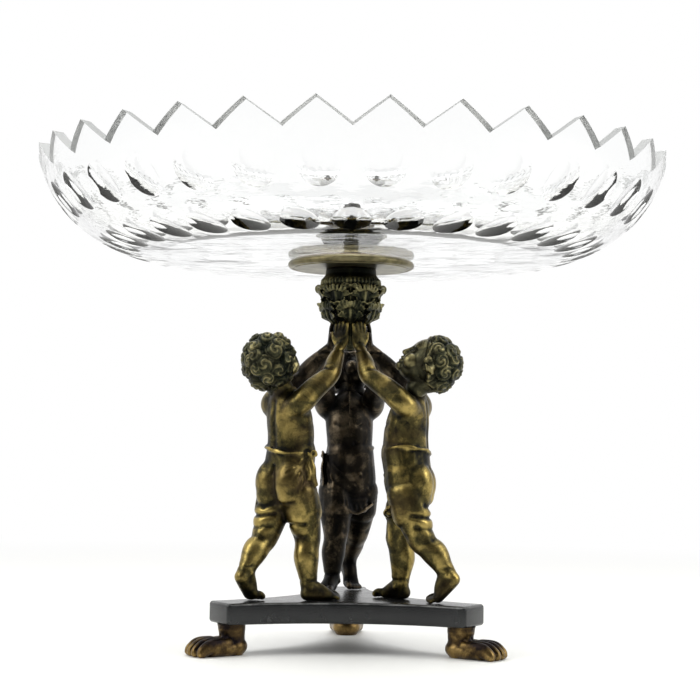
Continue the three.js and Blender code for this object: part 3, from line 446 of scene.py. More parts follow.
# Figures: three alike castings of a plump small child that lifts the capital. Body and arms are cast apart
# and joined at the shoulders, and a short cloth is rolled at the waist and knotted at the right hip. Each is
# modelled in its own frame: it looks along +x at the axis, and stands at z 0.
FIGURE_DISTANCE = 35
HIP_TURN, SHOULDER_TURN = 22, 8  # degrees to the figure's left
HIP_HEIGHT, WAIST_HEIGHT, SHOULDER_HEIGHT = 56, 74, 100
STANDING_FOOT, TRAILING_FOOT = -9.5, 2.5  # aside of the middle of the hips
KNEE_HEIGHT = 31
JOINT_DISTANCE = 5.6  # from the socket to the joint face of the body
TENON = 2.5  # how far the end of the arm sits in the shoulder
CLOTH = 0.8
CLOTH_SLOPE = 10
FLESH_VOXEL, BODY_VOXEL, ARM_VOXEL = 0.75, 0.42, 0.34


def on_body(ahead, aside, height):
    """A point by the spine, ahead and to the figure's left. The hips are turned more than the shoulders."""
    share = min(1, max(0, (height - HIP_HEIGHT) / (SHOULDER_HEIGHT - HIP_HEIGHT)))
    turn = HIP_TURN + (SHOULDER_TURN - HIP_TURN) * share
    return Vector((-FIGURE_DISTANCE, 0, height)) + around(turn, ahead, aside)


def body_line(*rows):
    """Stations for a strand by the spine: ahead, aside, height, half width and half depth."""
    return [(on_body(*place), wide, deep) for *place, wide, deep in rows]


def body_path(places, side=1):
    return [on_body(ahead, side * aside, height) for ahead, aside, height in places]


def body_marks(points, rows, side=1):
    return marks(points, [(amount, width, *body_path(path, side)) for amount, width, *path in rows])


hips_across = around(HIP_TURN, 0, 1)
hips_ahead = around(HIP_TURN, 1)
trunk_across = around(14, 0, 1)
up = Vector((0, 0, 1))


def leg_line(side):
    """Hip, knee and ankle of a leg. The right leg stands, and the left one trails with its heel raised."""
    hip = on_body(0, 7.1 * side, 53)
    if side < 0:
        ankle = Vector((-FIGURE_DISTANCE + 3, 0, 7)) + around(HIP_TURN, 2.4, STANDING_FOOT)
    else:
        ankle = Vector((-FIGURE_DISTANCE - 17, 0, 14.5)) + around(HIP_TURN, -4.6, TRAILING_FOOT)
    knee = hip.lerp(ankle, 0.5) + 3.2 * hips_ahead
    knee.z = KNEE_HEIGHT
    return hip, knee, ankle


def leg_beads(bm, side):
    hip, knee, ankle = leg_line(side)
    back = -1 * hips_ahead
    line = [
        (hip, 9.3, 9.5),
        (hip.lerp(knee, 0.3), 9.1, 9.2),
        (hip.lerp(knee, 0.6), 8.3, 8.4),
        (knee + 0.3 * back, 6.6, 6.9),
        (knee.lerp(ankle, 0.2) + 0.8 * back, 6.1, 6.3),
        (knee.lerp(ankle, 0.42) + 1.6 * back, 6.3, 6.5),
        (knee.lerp(ankle, 0.74) + 0.8 * back, 4.9, 5),
        (ankle, 4.3, 4.5),
    ]
    strand(bm, line, hips_across, spacing=0.25)
    bead(bm, knee + 3.2 * hips_ahead, (3.6, 4, 4))


def foot_line(side):
    """Heel, ball and the ways ahead and inward of a foot."""
    if side < 0:
        heel = Vector((-FIGURE_DISTANCE + 3, 0, 3.4)) + around(HIP_TURN, 0, STANDING_FOOT)
        ahead = around(-12, 1)
        return heel + 0.6 * ahead, heel + 12.2 * ahead - 1.1 * up, ahead, around(-12, 0, 1)
    _, _, ankle = leg_line(1)
    ball = Vector((-FIGURE_DISTANCE - 17, 0, 2.7)) + around(HIP_TURN, 0, TRAILING_FOOT)
    return ankle - 2.8 * hips_ahead - 2.6 * up, ball, hips_ahead, -1 * hips_across


def foot_beads(bm, side):
    """Heel, sole and instep of a foot."""
    _, _, ankle = leg_line(side)
    heel, ball, ahead, inward = foot_line(side)
    arch = heel.lerp(ball, 0.5) - 0.4 * inward + 0.3 * up
    instep = ankle.lerp(ball, 0.5) + 0.9 * ahead
    strand(bm, [(heel, 3.9, 3.6), (arch, 4, 3.4), (ball, 4.9, 2.6)], inward)
    strand(bm, [(ankle, 4.3, 4.4), (instep, 3.9, 3.3), (ball + 0.8 * up, 4.2, 2.1)], inward)


def toe_beads(bm, side):
    """Five toes on the ball of the foot, the big one on the inner side, and the bones of the ankle."""
    _, _, ankle = leg_line(side)
    _, ball, ahead, inward = foot_line(side)
    toes = ((1.85, 3, 4.6), (1.4, 0.7, 4.7), (1.3, -1.1, 4.3), (1.2, -2.7, 3.7), (1.1, -4, 3))
    for size, aside, reach in toes:
        root = ball + 0.92 * aside * inward + 0.3 * ahead
        middle = ball + aside * inward + 0.62 * reach * ahead
        tip = ball + aside * inward + reach * ahead
        root.z = 1.7 * size
        middle.z = 1.7 * size
        tip.z = 1.05 * size
        strand(bm, [(root, size, size), (middle, 0.94 * size, 0.95 * size), (tip, size, size)], inward, 2)
    for way in (-1, 1):
        bead(bm, ankle + 3.4 * way * inward - 0.6 * up, (1.6, 1.4, 1.6), detail=3)


def arm_line(side):
    """Socket, elbow and wrist of an arm, and the way outwards from the capital's stem to the hand."""
    socket = Vector((-FIGURE_DISTANCE - 1, 0, SHOULDER_HEIGHT - 1)) + around(SHOULDER_TURN, 0, 12 * side)
    elbow = Vector((-20, 15 * side, 112))
    outward = around(180 - 33 * side, 1)
    wrist = 10.9 * outward
    wrist.z = 126.4
    return socket, elbow, wrist, outward


def arm_beads(bm, side):
    """Shoulder, upper arm and forearm. The shoulder grows out of the back and the chest."""
    socket, elbow, wrist, _ = arm_line(side)
    inner = on_body(-2.4, 4.5 * side, 94)
    strand(bm, [
        (inner, 6.4, 6),
        (socket - 1.2 * up, 6.3, 6.2),
        (socket.lerp(elbow, 0.45) - 0.3 * up, 5.6, 5.9),
        (elbow - 0.3 * up, 4.7, 5),
        (elbow.lerp(wrist, 0.4), 4.4, 4.6),
        (elbow.lerp(wrist, 0.8), 3.3, 3.4),
        (wrist, 2.9, 2.8),
    ], (1, 0, 1), spacing=0.2)


def trunk_beads(bm):
    line = body_line(
        (0, 0, 51, 12.2, 9), (-0.4, 0, 58, 14, 10.8), (0.2, 0, 66, 13.3, 11), (1.4, 0, 74, 12.1, 11.3),
        (1.8, 0, 82, 12.4, 11.2), (0.6, 0, 90, 12.9, 10.4), (-0.7, 0, 96, 11.8, 8.6),
        (-1.8, 0, 101, 7.6, 6.4),
    )
    strand(bm, line, trunk_across, spacing=0.1)
    for side in (-1, 1):
        bead(bm, on_body(-4.6, 6.2 * side, 58), (8.6, 7.9, 11.5))
        bead(bm, on_body(-4.2, 6.6 * side, 52), (8, 7.4, 7))
        bead(bm, on_body(4.2, 5.2 * side, 91.5), (4.8, 5.4, 4.6))
    bead(bm, on_body(4.8, 0, 78), (8.4, 9.4, 8.6))


def parted(mesh, *cuts):
    """What is left of a closed skin behind each cut, a place and a way out. The cut faces are filled."""
    bm = bmesh.new()
    bm.from_mesh(mesh)
    for place, out in cuts:
        everything = bm.verts[:] + bm.edges[:] + bm.faces[:]
        bmesh.ops.bisect_plane(bm, geom=everything, plane_co=place, plane_no=out, clear_outer=True)
        bmesh.ops.holes_fill(bm, edges=[edge for edge in bm.edges if edge.is_boundary], sides=0)
    return mesh_of(bm)


def flesh_parts():
    """Trunk and limbs as one soft skin, cut at the two joints into a body and two arms."""
    bm = bmesh.new()
    trunk_beads(bm)
    for side in (-1, 1):
        leg_beads(bm, side)
        foot_beads(bm, side)
        arm_beads(bm, side)
    flesh = cast_skin(bm, FLESH_VOXEL, 9)
    parts = {}
    cuts = []
    for name, side in (("left", 1), ("right", -1)):
        socket, elbow, _, _ = arm_line(side)
        along = (elbow - socket).normalized()
        joint = socket + JOINT_DISTANCE * along
        parts[name] = parted(flesh, (joint - TENON * along, -along), ((0, 0, 0), (0, -side, 0)))
        cuts.append((joint, along))
    parts["body"] = parted(flesh, *cuts)
    return parts


def cloth_beads(bm):
    """The wound cloth stands out over the front of the hips and thighs, and sags between the thighs."""
    wound = body_line(
        (1, 0, 52, 12.2 + CLOTH, 9), (0.8, 0, 58, 13.8 + CLOTH, 10.6 + CLOTH),
        (1.2, 0, 66, 13.1 + CLOTH, 10.9 + CLOTH), (2.2, 0, 73, 12 + CLOTH, 11.2 + CLOTH),
    )
    strand(bm, wound, trunk_across, spacing=0.1)
    front = 1.7 * hips_ahead
    for side in (-1, 1):
        hip, knee, _ = leg_line(side)
        strand(bm, [
            (hip + front, 8.8, 8.8),
            (hip.lerp(knee, 0.25) + front, 8.8, 8.8),
            (hip.lerp(knee, 0.42) + 1.15 * front, 8.7, 8.7),
        ], hips_across, spacing=0.2)
    hem = body_line(
        (9.4, 10, 46.4, 0.9, 0.8), (11.6, 5, 43.6, 1, 0.9), (10.6, 0, 42, 1.2, 1), (11.6, -5, 43.8, 1, 0.9),
        (9.8, -10, 47, 0.9, 0.8),
    )
    strand(bm, hem, up, 2)
    for height, reach in ((51, 8.4), (48, 8.6), (45.6, 8.8), (43.6, 9.2)):
        ends = [(reach, aside, height + 0.6, 2.2, 2) for aside in (5.5, -5.5)]
        strand(bm, body_line(ends[0], (reach + 0.7, 0, height, 2.2, 1.6), ends[1]), up)


def waist_point(azimuth, stand_off, lift=0.0):
    """A point round the waist, where the rolled edge lies and dips to the right."""
    reach = 12.1 + stand_off
    aside = reach * math.sin(math.radians(azimuth))
    ahead = (11.4 + stand_off) * math.cos(math.radians(azimuth))
    height = WAIST_HEIGHT + math.tan(math.radians(CLOTH_SLOPE)) * aside + lift
    return on_body(1.4 + ahead, aside, height)


def roll_and_knot(bm):
    for phase in (0, 180):
        line = []
        for azimuth in range(-90, 271, 10):
            turn = math.radians(2.5 * azimuth + phase)
            line.append((waist_point(azimuth, 0.3 + 0.3 * math.cos(turn), 0.6 * math.sin(turn)), 0.72, 0.72))
        strand(bm, line, up, 2, 0.5)
    knot = waist_point(-90, 1.2)

    def from_knot(*rows):
        return [(knot + Vector(step), wide, deep) for *step, wide, deep in rows]

    bead(bm, knot, (2.3, 1.9, 2), detail=3)
    strand(bm, from_knot((-1.2, -1, 1.4, 0.5, 0.6), (0, -1.9, 0, 0.8, 0.7), (1.4, -1, -1.4, 0.5, 0.6)), up, 2)
    loop = from_knot((0.4, -0.8, 1.2, 0.8, 0.8), (2.4, -1.4, 2, 0.95, 0.7), (3.4, -1.2, 0.2, 0.95, 0.7),
                     (0.8, -1, -0.5, 0.8, 0.7))
    strand(bm, loop, up, 2)
    for tail in (
        ((0.6, -0.6, -1.4, 0.9, 1), (2, -1.6, -6, 1.5, 0.75), (2.6, -1.2, -11, 1.9, 0.65),
         (4, -1, -15, 1.5, 0.55)),
        ((-0.4, -0.6, -1.4, 0.9, 1), (-0.8, -1.2, -5, 1.5, 0.75), (0.2, -1.7, -9, 1.9, 0.65),
         (-0.4, -1.9, -12, 1.5, 0.55)),
    ):
        strand(bm, from_knot(*tail), (1, 0.3, 0.2), 2, 0.5)


def body_creases(points):
    """How deep the creases of the flesh go."""
    move = body_marks(points, (
        (-0.85, 1.7, (-9.6, 0, 98), (-10.4, 0, 91), (-10, 0, 84), (-10, 0, 76)),  # backbone
        (-1.5, 1.25, (-10.6, 0, 66), (-12.6, 0, 61), (-12.8, 0, 55), (-10, 0, 49)),  # cleft of the seat
        (-0.9, 1.2, (13.4, 0, 78.5)),  # navel
    ))
    for side in (-1, 1):
        move += body_marks(points, (
            (-1.2, 1.3, (-9, 1.5, 47.5), (-11.4, 6, 46), (-9, 12, 47.5)),  # under the seat
            (-0.35, 1.6, (-9.8, 4, 96), (-10.4, 4.4, 91), (-9.6, 7, 87.6)),  # shoulder blade
            (-0.4, 1.2, (8.6, 9, 88.4), (10.4, 5.6, 87), (11.4, 2, 88.4)),  # under the breast
        ), side)
        _, knee, ankle = leg_line(side)
        steps = ((6.4, 4), (7, 0), (6.4, -4))
        hollow = [knee - reach * hips_ahead + aside * hips_across for reach, aside in steps]
        move -= 0.7 * near(points, hollow, 1.5)
        for aside in (-2.8, 2.8):
            move -= 0.4 * near(points, [knee + 6.6 * hips_ahead + aside * hips_across + up], 1.7)
        wrinkle = [ankle + 2.8 * up + around(HIP_TURN + turn, 4.6) for turn in range(-150, 151, 50)]
        move -= 0.5 * near(points, wrinkle, 0.8)
    hip, knee, _ = leg_line(1)
    for share, depth in ((0.52, 1.3), (0.78, 1.1)):
        middle = hip.lerp(knee, share)
        turns = range(85, 236, 25)
        crease = [middle + around(HIP_TURN + turn, 8.6) + 0.012 * abs(turn - 160) * up for turn in turns]
        move -= depth * near(points, crease, 1.1)
    hip, knee, _ = leg_line(-1)
    crease = [hip.lerp(knee, 0.7) + around(HIP_TURN + turn, 8) for turn in range(110, 221, 22)]
    return move - 0.9 * near(points, crease, 1)


def cloth_folds(points):
    """Folds that run from the knot round the hips, and gathers along the hem: ridges in soft hollows."""
    move = np.zeros(len(points))
    knot = waist_point(-90, 0)
    for place in (
        (-9, -11.4, 58), (-11, -8.6, 63.5), (-7, -12.5, 52), (8, -11, 56), (12.4, -6, 61), (12.6, 0, 55),
        (7, -12, 50), (12.8, 3, 62), (11, 8, 54),
    ):
        end = on_body(*place)
        middle = knot.lerp(end, 0.5)
        middle = middle + 2.4 * (middle - on_body(0, 0, middle.z)).normalized()
        fold = [knot, middle, end]
        move += 0.7 * near(points, fold, 0.7) - 0.45 * near(points, fold, 1.7)
    for aside in (-8, -5.4, -2.8, 0, 2.8, 5.4, 8):
        gather = [(10.8 + 0.1 * abs(aside), aside, 43.6), (12, 0.92 * aside, 47), (12.2, 0.8 * aside, 53)]
        move += body_marks(points, ((0.45, 0.7, *gather), (-0.3, 1.4, *gather)))
    return move


def body_mesh(flesh):
    bm = bmesh.new()
    bm.from_mesh(flesh)
    for side in (-1, 1):
        toe_beads(bm, side)
    cloth_beads(bm)
    roll_and_knot(bm)
    strand(bm, [((-36, 0, 97), 7.5, 6.5), ((-38, 0, 103), 6, 5.6), ((-42, 0, 110), 5.6, 5.6)], trunk_across)
    mesh = cast_skin(bm, BODY_VOXEL, 3)
    points, normals = surface(mesh)
    points += normals * (body_creases(points) + cloth_folds(points))[:, None]
    points[:, 2] = np.maximum(points[:, 2], 0.05)
    points = averaged(mesh, points, 2)
    reshape(mesh, points)
    # Painted shade: darker low down, where the feet stand on the plinth.
    wear_and_shading = PLAIN + relief(mesh) - 0.5 * np.exp(-((points[:, 2] / 8) ** 2)) + body_marks(points, (
        (0.34, 5.5, (-14, -6.5, 60), (-14, -7, 55)), (0.34, 5, (-14, 6.5, 59)),  # seat, rubbed
        (0.16, 5, (-10, -7, 92), (-6, -11, 82)), (0.16, 5, (-8, 9, 92)),  # back, rubbed
        (-0.34, 5, (-9, 6, 90), (-9, 9, 80)), (-0.34, 4, (-11, 5, 70)),  # flank, painted shade
    ))
    for side in (-1, 1):
        hip, knee, ankle = leg_line(side)
        calf = [knee.lerp(ankle, 0.3) - 7 * hips_ahead, knee.lerp(ankle, 0.6) - 5 * hips_ahead]
        thigh = [hip.lerp(knee, 0.62) - 6 * hips_ahead]
        wear_and_shading += 0.26 * near(points, calf, 4.5) + 0.26 * near(points, thigh, 5)
    # Painted shade at the neck, under the head.
    paint(mesh, "wear_and_shading", wear_and_shading - 0.3 * near(points, [(-40, 0, 106)], 8))
    return mesh


def hand_beads(bm, side):
    """An open hand laid flat against the stem: palm, four fingers and a thumb."""
    _, _, wrist, outward = arm_line(side)
    sideways = around(90 + 180 - 33 * side, 1)
    palm = 9.5 * outward
    palm.z = 127.4

    def from_palm(*rows):
        """Stations: upwards, sideways and outwards from the palm, half width and half depth."""
        places = [palm + rise * up + aside * sideways + off * outward for rise, aside, off, *_ in rows]
        return [(place, wide, deep) for place, (*_, wide, deep) in zip(places, rows)]

    heel_of_hand = from_palm((0, 0, 0.6, 3.2, 2.2), (3, 0, 0, 4, 2), (6.2, 0, 0, 3.8, 1.7))
    strand(bm, [(wrist, 2.9, 2.7), *heel_of_hand], sideways)
    for i in range(4):
        aside = (i - 1.5) * 1.95
        length = 13 - 0.9 * abs(i - 1.6)
        finger = from_palm(
            (5.4, 0.95 * aside, 0, 1.02, 1.3), (0.62 * length, aside, 0.25, 1, 1.2),
            (0.8 * length, 1.03 * aside, 0.2, 0.95, 1), (length - 0.6, 1.05 * aside, -0.2, 0.88, 0.85),
        )
        strand(bm, finger, sideways, 2)
    thumb = from_palm(
        (0.6, 2.2 * side, 0.4, 1.6, 1.6), (3.6, 4.3 * side, 0.2, 1.2, 1.2), (6.6, 4.9 * side, -0.2, 1, 0.95),
    )
    strand(bm, thumb, sideways, 2)


def arm_mesh(flesh, side):
    bm = bmesh.new()
    bm.from_mesh(flesh)
    _, elbow, wrist, _ = arm_line(side)
    hand_beads(bm, side)
    mesh = cast_skin(bm, ARM_VOXEL, 2)
    points, normals = surface(mesh)
    steps = ((-3.8, -2, 2.6), (-3, 1.5, 3.4), (-1, 4, 3.2))
    fold = [elbow + Vector((ahead, aside * side, rise)) for ahead, aside, rise in steps]
    move = -0.8 * near(points, fold, 1)
    ring = [wrist.lerp(elbow, 0.14) + around(turn, 3.4) for turn in range(0, 361, 30)]
    move -= 0.6 * near(points, ring, 0.8)
    points = averaged(mesh, points + normals * move[:, None], 1)
    reshape(mesh, points)
    forearm = [elbow.lerp(wrist, 0.3) - 3 * up, elbow.lerp(wrist, 0.7) + 3 * side * hips_across]
    rubbed = near(points, forearm, 5)
    # Painted shade: the wrists and hands are darker under the capital.
    shade_under_capital = fade(points[:, 2], 126, 131)
    paint(mesh, "wear_and_shading", PLAIN + 0.9 * relief(mesh) + 0.3 * rubbed - 0.3 * shade_under_capital)
    return mesh


GILDED_COLOURS = ((0.010, 0.010, 0.008), (0.07, 0.058, 0.022), (0.36, 0.27, 0.085), (0.05, 0.033, 0.016))
SHADOW_COLOURS = ((0.005, 0.005, 0.005), (0.016, 0.0135, 0.010), (0.11, 0.085, 0.055), (0.012, 0.009, 0.008))
gilded_bronze = cast_bronze("gilded_bronze", GILDED_COLOURS, 0.42)
shadow_bronze = cast_bronze("shadow_bronze", SHADOW_COLOURS, 0.38)
# Painted shade: the far arm of each front figure takes the back figure's darker colours.
far_arm_shade_bronze = cast_bronze("far_arm_shade_bronze", SHADOW_COLOURS, 0.32)
soft_parts = flesh_parts()
body_casting = body_mesh(soft_parts["body"])
arm_castings = {"left": arm_mesh(soft_parts["left"], 1), "right": arm_mesh(soft_parts["right"], -1)}


def stand_figure(name, casting, corner, finish, node):
    """A casting over a corner of the plinth. The back figure is dark all over."""
    cast = casting.copy()
    cast.transform(Matrix.Translation((0, 0, PLINTH_TOP)) @ spun(CORNERS[corner] - 180))
    shaded(cast, 75)
    if corner == "back":
        piece(name, cast, [shadow_bronze], "dark_bronze", node)
    else:
        piece(name, cast, [finish], "gilded_bronze", node)


for corner in CORNERS:
    body_name = f"putto_body_{corner}"
    stand_figure(body_name, body_casting, corner, gilded_bronze, body_name)
    for side, casting in arm_castings.items():
        arm_name = f"putto_{side}_arm_{corner}"
        # The far arm of a front figure gets the painted-shade finish.
        arm_finish = far_arm_shade_bronze if corner == f"front_{side}" else gilded_bronze
        stand_figure(arm_name, casting, corner, arm_finish, arm_name)


# Heads: round and tilted back to look up, with a calm child's face and a thick cap of rolled locks. The
# locks are chased after casting, and their dark green patina is rubbed only on the ridges.
HEAD_CENTRE = Vector((-FIGURE_DISTANCE - 10, 0, SHOULDER_HEIGHT + 17.5))
HEAD_TURN, HEAD_TILT = 34, 40  # degrees to the figure's left, then back
HEAD_GROWTH = 1.07  # the head is modelled on a skull of 12 mm half length, and is this much larger
HEAD_VOXEL = 0.3
LOCK_COUNT = 50
LOCK_DOME, LOCK_REACH, LOCK_RIDGE = 2.5, 5, 0.3
SKULL_MIDDLE, SKULL_HALF = (-0.9, 0, 1.6), (11.9, 10.9, 11.2)


def face_beads(bm):
    """A face on plain child proportions: eyes half way down, small nose, full cheeks, small chin."""
    sideways = (0, 1, 0)
    bead(bm, SKULL_MIDDLE, SKULL_HALF)
    bead(bm, (3.2, 0, -3), (8.1, 8.2, 8.6))
    bead(bm, (1, 0, -7), (6, 6, 5))
    strand(bm, [((-4, 0, -6), 6, 5.6), ((-3, 0, -12), 5.4, 5)], sideways)
    strand(bm, [((10.1, 0, 2), 1.5, 1), ((11, 0, -0.6), 1.3, 1.2), ((11.7, 0, -2.3), 1.5, 1.4)], sideways, 2)
    bead(bm, (11.8, 0, -2.7), (1.45, 1.5, 1.3), detail=3)
    bead(bm, (9.1, 0, -8.8), (2.7, 3.2, 2.4), detail=3)
    bead(bm, (5.2, 0, -8), (5, 5.6, 4))
    upper_lip = [
        ((10, -2.5, -5.9), 0.5, 0.5),
        ((11.3, -0.9, -5.3), 0.75, 0.7),
        ((11.5, 0, -5.4), 0.7, 0.65),
        ((11.3, 0.9, -5.3), 0.75, 0.7),
        ((10, 2.5, -5.9), 0.5, 0.5),
    ]
    strand(bm, upper_lip, (0, 0, 1), 2)
    lower_lip = [((10.1, -2, -6.3), 0.5, 0.5), ((11.2, 0, -6.7), 0.9, 0.8), ((10.1, 2, -6.3), 0.5, 0.5)]
    strand(bm, lower_lip, (0, 0, 1), 2)
    for side in (-1, 1):
        bead(bm, (6.9, 4.7 * side, -4.5), (4.2, 3.7, 4), detail=3)
        bead(bm, (11.6, 1.25 * side, -3.1), (1, 0.85, 0.8), detail=2)
        brow = [
            ((9.9, 1.6 * side, 2.4), 0.9, 0.7),
            ((9.5, 4.2 * side, 2.9), 1, 0.8),
            ((7.6, 6.3 * side, 1.9), 0.9, 0.7),
        ]
        strand(bm, brow, (0, 0, 1), 2)
        ear = [
            ((0.4, 10.4 * side, -3.8), 0.9, 0.8),
            ((-1, 11.1 * side, -1.6), 0.8, 0.7),
            ((0.2, 11.3 * side, 0.4), 0.8, 0.7),
            ((1.8, 10.9 * side, -0.2), 0.8, 0.7),
        ]
        strand(bm, ear, (1, 0, 0), 2)


def lock_places():
    """The middle of each lock on the skull, two ways along the scalp there, and how it is wound."""
    draw = random.Random(7)
    golden_turn = math.pi * (3 - math.sqrt(5))
    places = []
    for i in range(LOCK_COUNT):
        height = 1 - 2 * (i + 0.5) / LOCK_COUNT
        flat = math.sqrt(1 - height * height)
        out = Vector((flat * math.cos(golden_turn * i), flat * math.sin(golden_turn * i), height))
        stir = Vector((draw.uniform(-0.2, 0.2), draw.uniform(-0.2, 0.2), draw.uniform(-0.2, 0.2)))
        out = (out + stir).normalized()
        first = out.orthogonal().normalized()
        places.append((out, first, out.cross(first), draw.choice((-1, 1)), draw.uniform(0, 2 * math.pi)))
    return places


def hair_growth(points):
    """How far the hair stands off the skull: a cap of domed locks, each wound up in two ridges."""
    away = (points - SKULL_MIDDLE) / SKULL_HALF
    away /= np.linalg.norm(away, axis=1)[:, None]
    places = lock_places()
    outs, firsts, seconds = (np.array([place[part][:] for place in places]) for part in range(3))
    ways, starts = (np.array([place[part] for place in places]) for part in (3, 4))
    nearness = away @ outs.T
    lock = nearness.argmax(axis=1)
    apart = SKULL_HALF[0] * np.arccos(np.clip(nearness.max(axis=1), -1, 1))
    turn = np.arctan2((away * seconds[lock]).sum(axis=1), (away * firsts[lock]).sum(axis=1))
    stray = 1.2 * np.sin(0.55 * points[:, 0] + starts[lock]) + np.sin(0.6 * points[:, 1] + 0.5 * points[:, 2])
    dome = LOCK_DOME * np.clip(1 - (apart / LOCK_REACH) ** 2, 0, 1)
    wound = np.cos(2 * ways[lock] * turn + 3 * apart + starts[lock] + stray)
    fine = 0.5 * np.cos(4 * ways[lock] * turn + 7 * apart + starts[lock] + 2 * stray)
    ridges = LOCK_RIDGE * (wound + fine) * np.clip(apart / 0.9, 0, 1)
    x, z = away[:, 0], away[:, 2]
    hairline = fade(0.42 * z - x, -0.47, -0.25)
    nape = fade(z + 0.38 * fade(x, 0, -0.25), -0.5, -0.3)
    off_skull = np.abs(np.linalg.norm((points - SKULL_MIDDLE) / SKULL_HALF, axis=1) - 1)
    return np.minimum(hairline, nape) * (off_skull < 0.21), 0.7 + dome + ridges


def head_mesh():
    bm = bmesh.new()
    face_beads(bm)
    mesh = cast_skin(bm, HEAD_VOXEL, 2)
    points, normals = surface(mesh)
    move = marks(points, (
        (-0.55, 0.4, (11.2, -2.2, -6.05), (12, 0, -5.95), (11.2, 2.2, -6.05)),  # mouth
        (-0.3, 0.5, (12, 0, -4.4)),  # above the lip
        (-0.3, 0.6, (11, -1.2, -7.7), (11, 1.2, -7.7)),  # below the lip
    ))
    for side in (-1, 1):
        move += marks(points, (
            (-1.15, 1.7, (10.6, 2.6, 0.6), (9.9, 4.6, 0.5)),  # eye socket
            (0.75, 1.45, (9.9, 3.7, 0.3)),  # eyeball
            (0.3, 0.45, (10.4, 2.2, 0.4), (10.5, 3.6, 1.5), (9.3, 5.3, 0.6)),  # upper lid
            (0.22, 0.4, (10.4, 2.2, 0.1), (10.4, 3.7, -0.9), (9.3, 5.3, 0.2)),  # lower lid
            (-0.4, 0.45, (12.2, 0.75, -3.7)),  # nostril
            (-0.25, 0.7, (10.6, 2.2, -3.4), (9.9, 3.4, -5.6)),  # beside the mouth
        ), side)
    hair, growth = hair_growth(points)
    points = averaged(mesh, points + normals * (move + hair * growth)[:, None], 1)
    points[:, 1] *= 0.96
    reshape(mesh, points)
    cheeks_and_nose = ((0.12, 3.5, (9, -5, -4)), (0.12, 3.5, (9, 5, -4)), (0.12, 2, (12, 0, -2)))
    bare_face = PLAIN + 0.1 + marks(points, cheeks_and_nose)
    hollows = marks(points, (
        (-0.3, 5, (4, 0, -11), (-3, 0, -13)),  # painted shade under the chin
        (-0.6, 4, (0.4, -11, -1.6)), (-0.6, 4, (0.4, 11, -1.6)),  # ears
        (-0.3, 2.2, (9.9, -3.7, 0.3)), (-0.3, 2.2, (9.9, 3.7, 0.3)),  # eyes
    ))
    paint(mesh, "wear_and_shading", bare_face + (0.16 - bare_face) * hair + 0.8 * relief(mesh, 50) + hollows)
    turned = spun(HEAD_TURN) @ Matrix.Rotation(math.radians(-HEAD_TILT), 4, "Y")
    mesh.transform(Matrix.Translation(HEAD_CENTRE) @ turned @ Matrix.Scale(HEAD_GROWTH, 4))
    return mesh


HAIR_COLOURS = ((0.008, 0.010, 0.007), (0.05, 0.05, 0.028), (0.27, 0.235, 0.11), (0.035, 0.03, 0.018))
hair_bronze = cast_bronze("hair_bronze", HAIR_COLOURS, 0.42)
head_casting = head_mesh()
for corner in CORNERS:
    stand_figure(f"putto_head_{corner}", head_casting, corner, hair_bronze, f"putto_body_{corner}")


# Capital: a dark bronze bell dressed with two rows of acanthus leaves, on a fluted stem that the hands hold.
# The leaves have ribs, curling lobes and ringed eyes. The bell is finely ribbed, and the hollows are black.
CAPITAL_BASE, CAPITAL_HIGHEST, _ = measured(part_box("leaf_capital"))
CAPITAL_TOP = CAPITAL_HIGHEST - CAPITAL_BASE
BELL_LINE = [(0, 0), (3.3, 0.8), (5.8, 3.2), (7, 7), (7, 15), (9.5, 17), (11.8, 19.5), (12.4, 24), (13.4, 29),
             (14.8, 33), (15.4, 35), (15, 36.8), (14, 38), (13.1, 39.2), (12.9, CAPITAL_TOP - 0.4),
             (12.5, CAPITAL_TOP), (0, CAPITAL_TOP)]
BELL_RADIUS = 12.5
LEAF_COUNT = 6
TALL_LEAF = [(11.4, 18.4), (13, 22.5), (14, 27), (15.2, 30.8), (16.4, 33), (17.1, 32.9), (17.3, 31.7),
             (16.7, 30.4)]
SHORT_LEAF = [(9.4, 14.4), (12.2, 17), (13.3, 20), (14, 22.6), (14.8, 24.2), (15.4, 24), (15.5, 22.9),
              (14.9, 21.8)]
LEAF_OUTLINE = (0.3, 0.6, 0.78, 0.86, 0.92, 0.9, 0.82, 0.6)  # how wide the leaf is from foot to tip
BELL_RIBS, STEM_FLUTES = 48, 16
CAPITAL_VOXEL = 0.34


def lathe(profile, steps, closed=False):
    """Turns a line of (radius, height) points round the axis into a skin."""
    bm = bmesh.new()
    line = [bm.verts.new((radius, 0, height)) for radius, height in profile]
    edges = [bm.edges.new(pair) for pair in zip(line[:-1], line[1:])]
    if closed:
        edges.append(bm.edges.new((line[-1], line[0])))
    bmesh.ops.spin(
        bm, geom=line + edges, cent=(0, 0, 0), axis=(0, 0, 1), dvec=(0, 0, 0), angle=2 * math.pi, steps=steps,
        use_merge=True,
    )
    bmesh.ops.remove_doubles(bm, verts=bm.verts, dist=0.001)
    bmesh.ops.recalc_face_normals(bm, faces=bm.faces)
    return bm



def eye_ring(bm, centre, out, radius):
    """A drilled eye between two lobes, with its raised ring."""
    first = out.orthogonal().normalized()
    second = out.cross(first)
    line = []
    for step in range(9):
        angle = 2 * math.pi * step / 8
        place = centre + radius * (math.cos(angle) * first + math.sin(angle) * second)
        line.append((place, 0.34, 0.34))
    strand(bm, line, out, 1, 0.8)


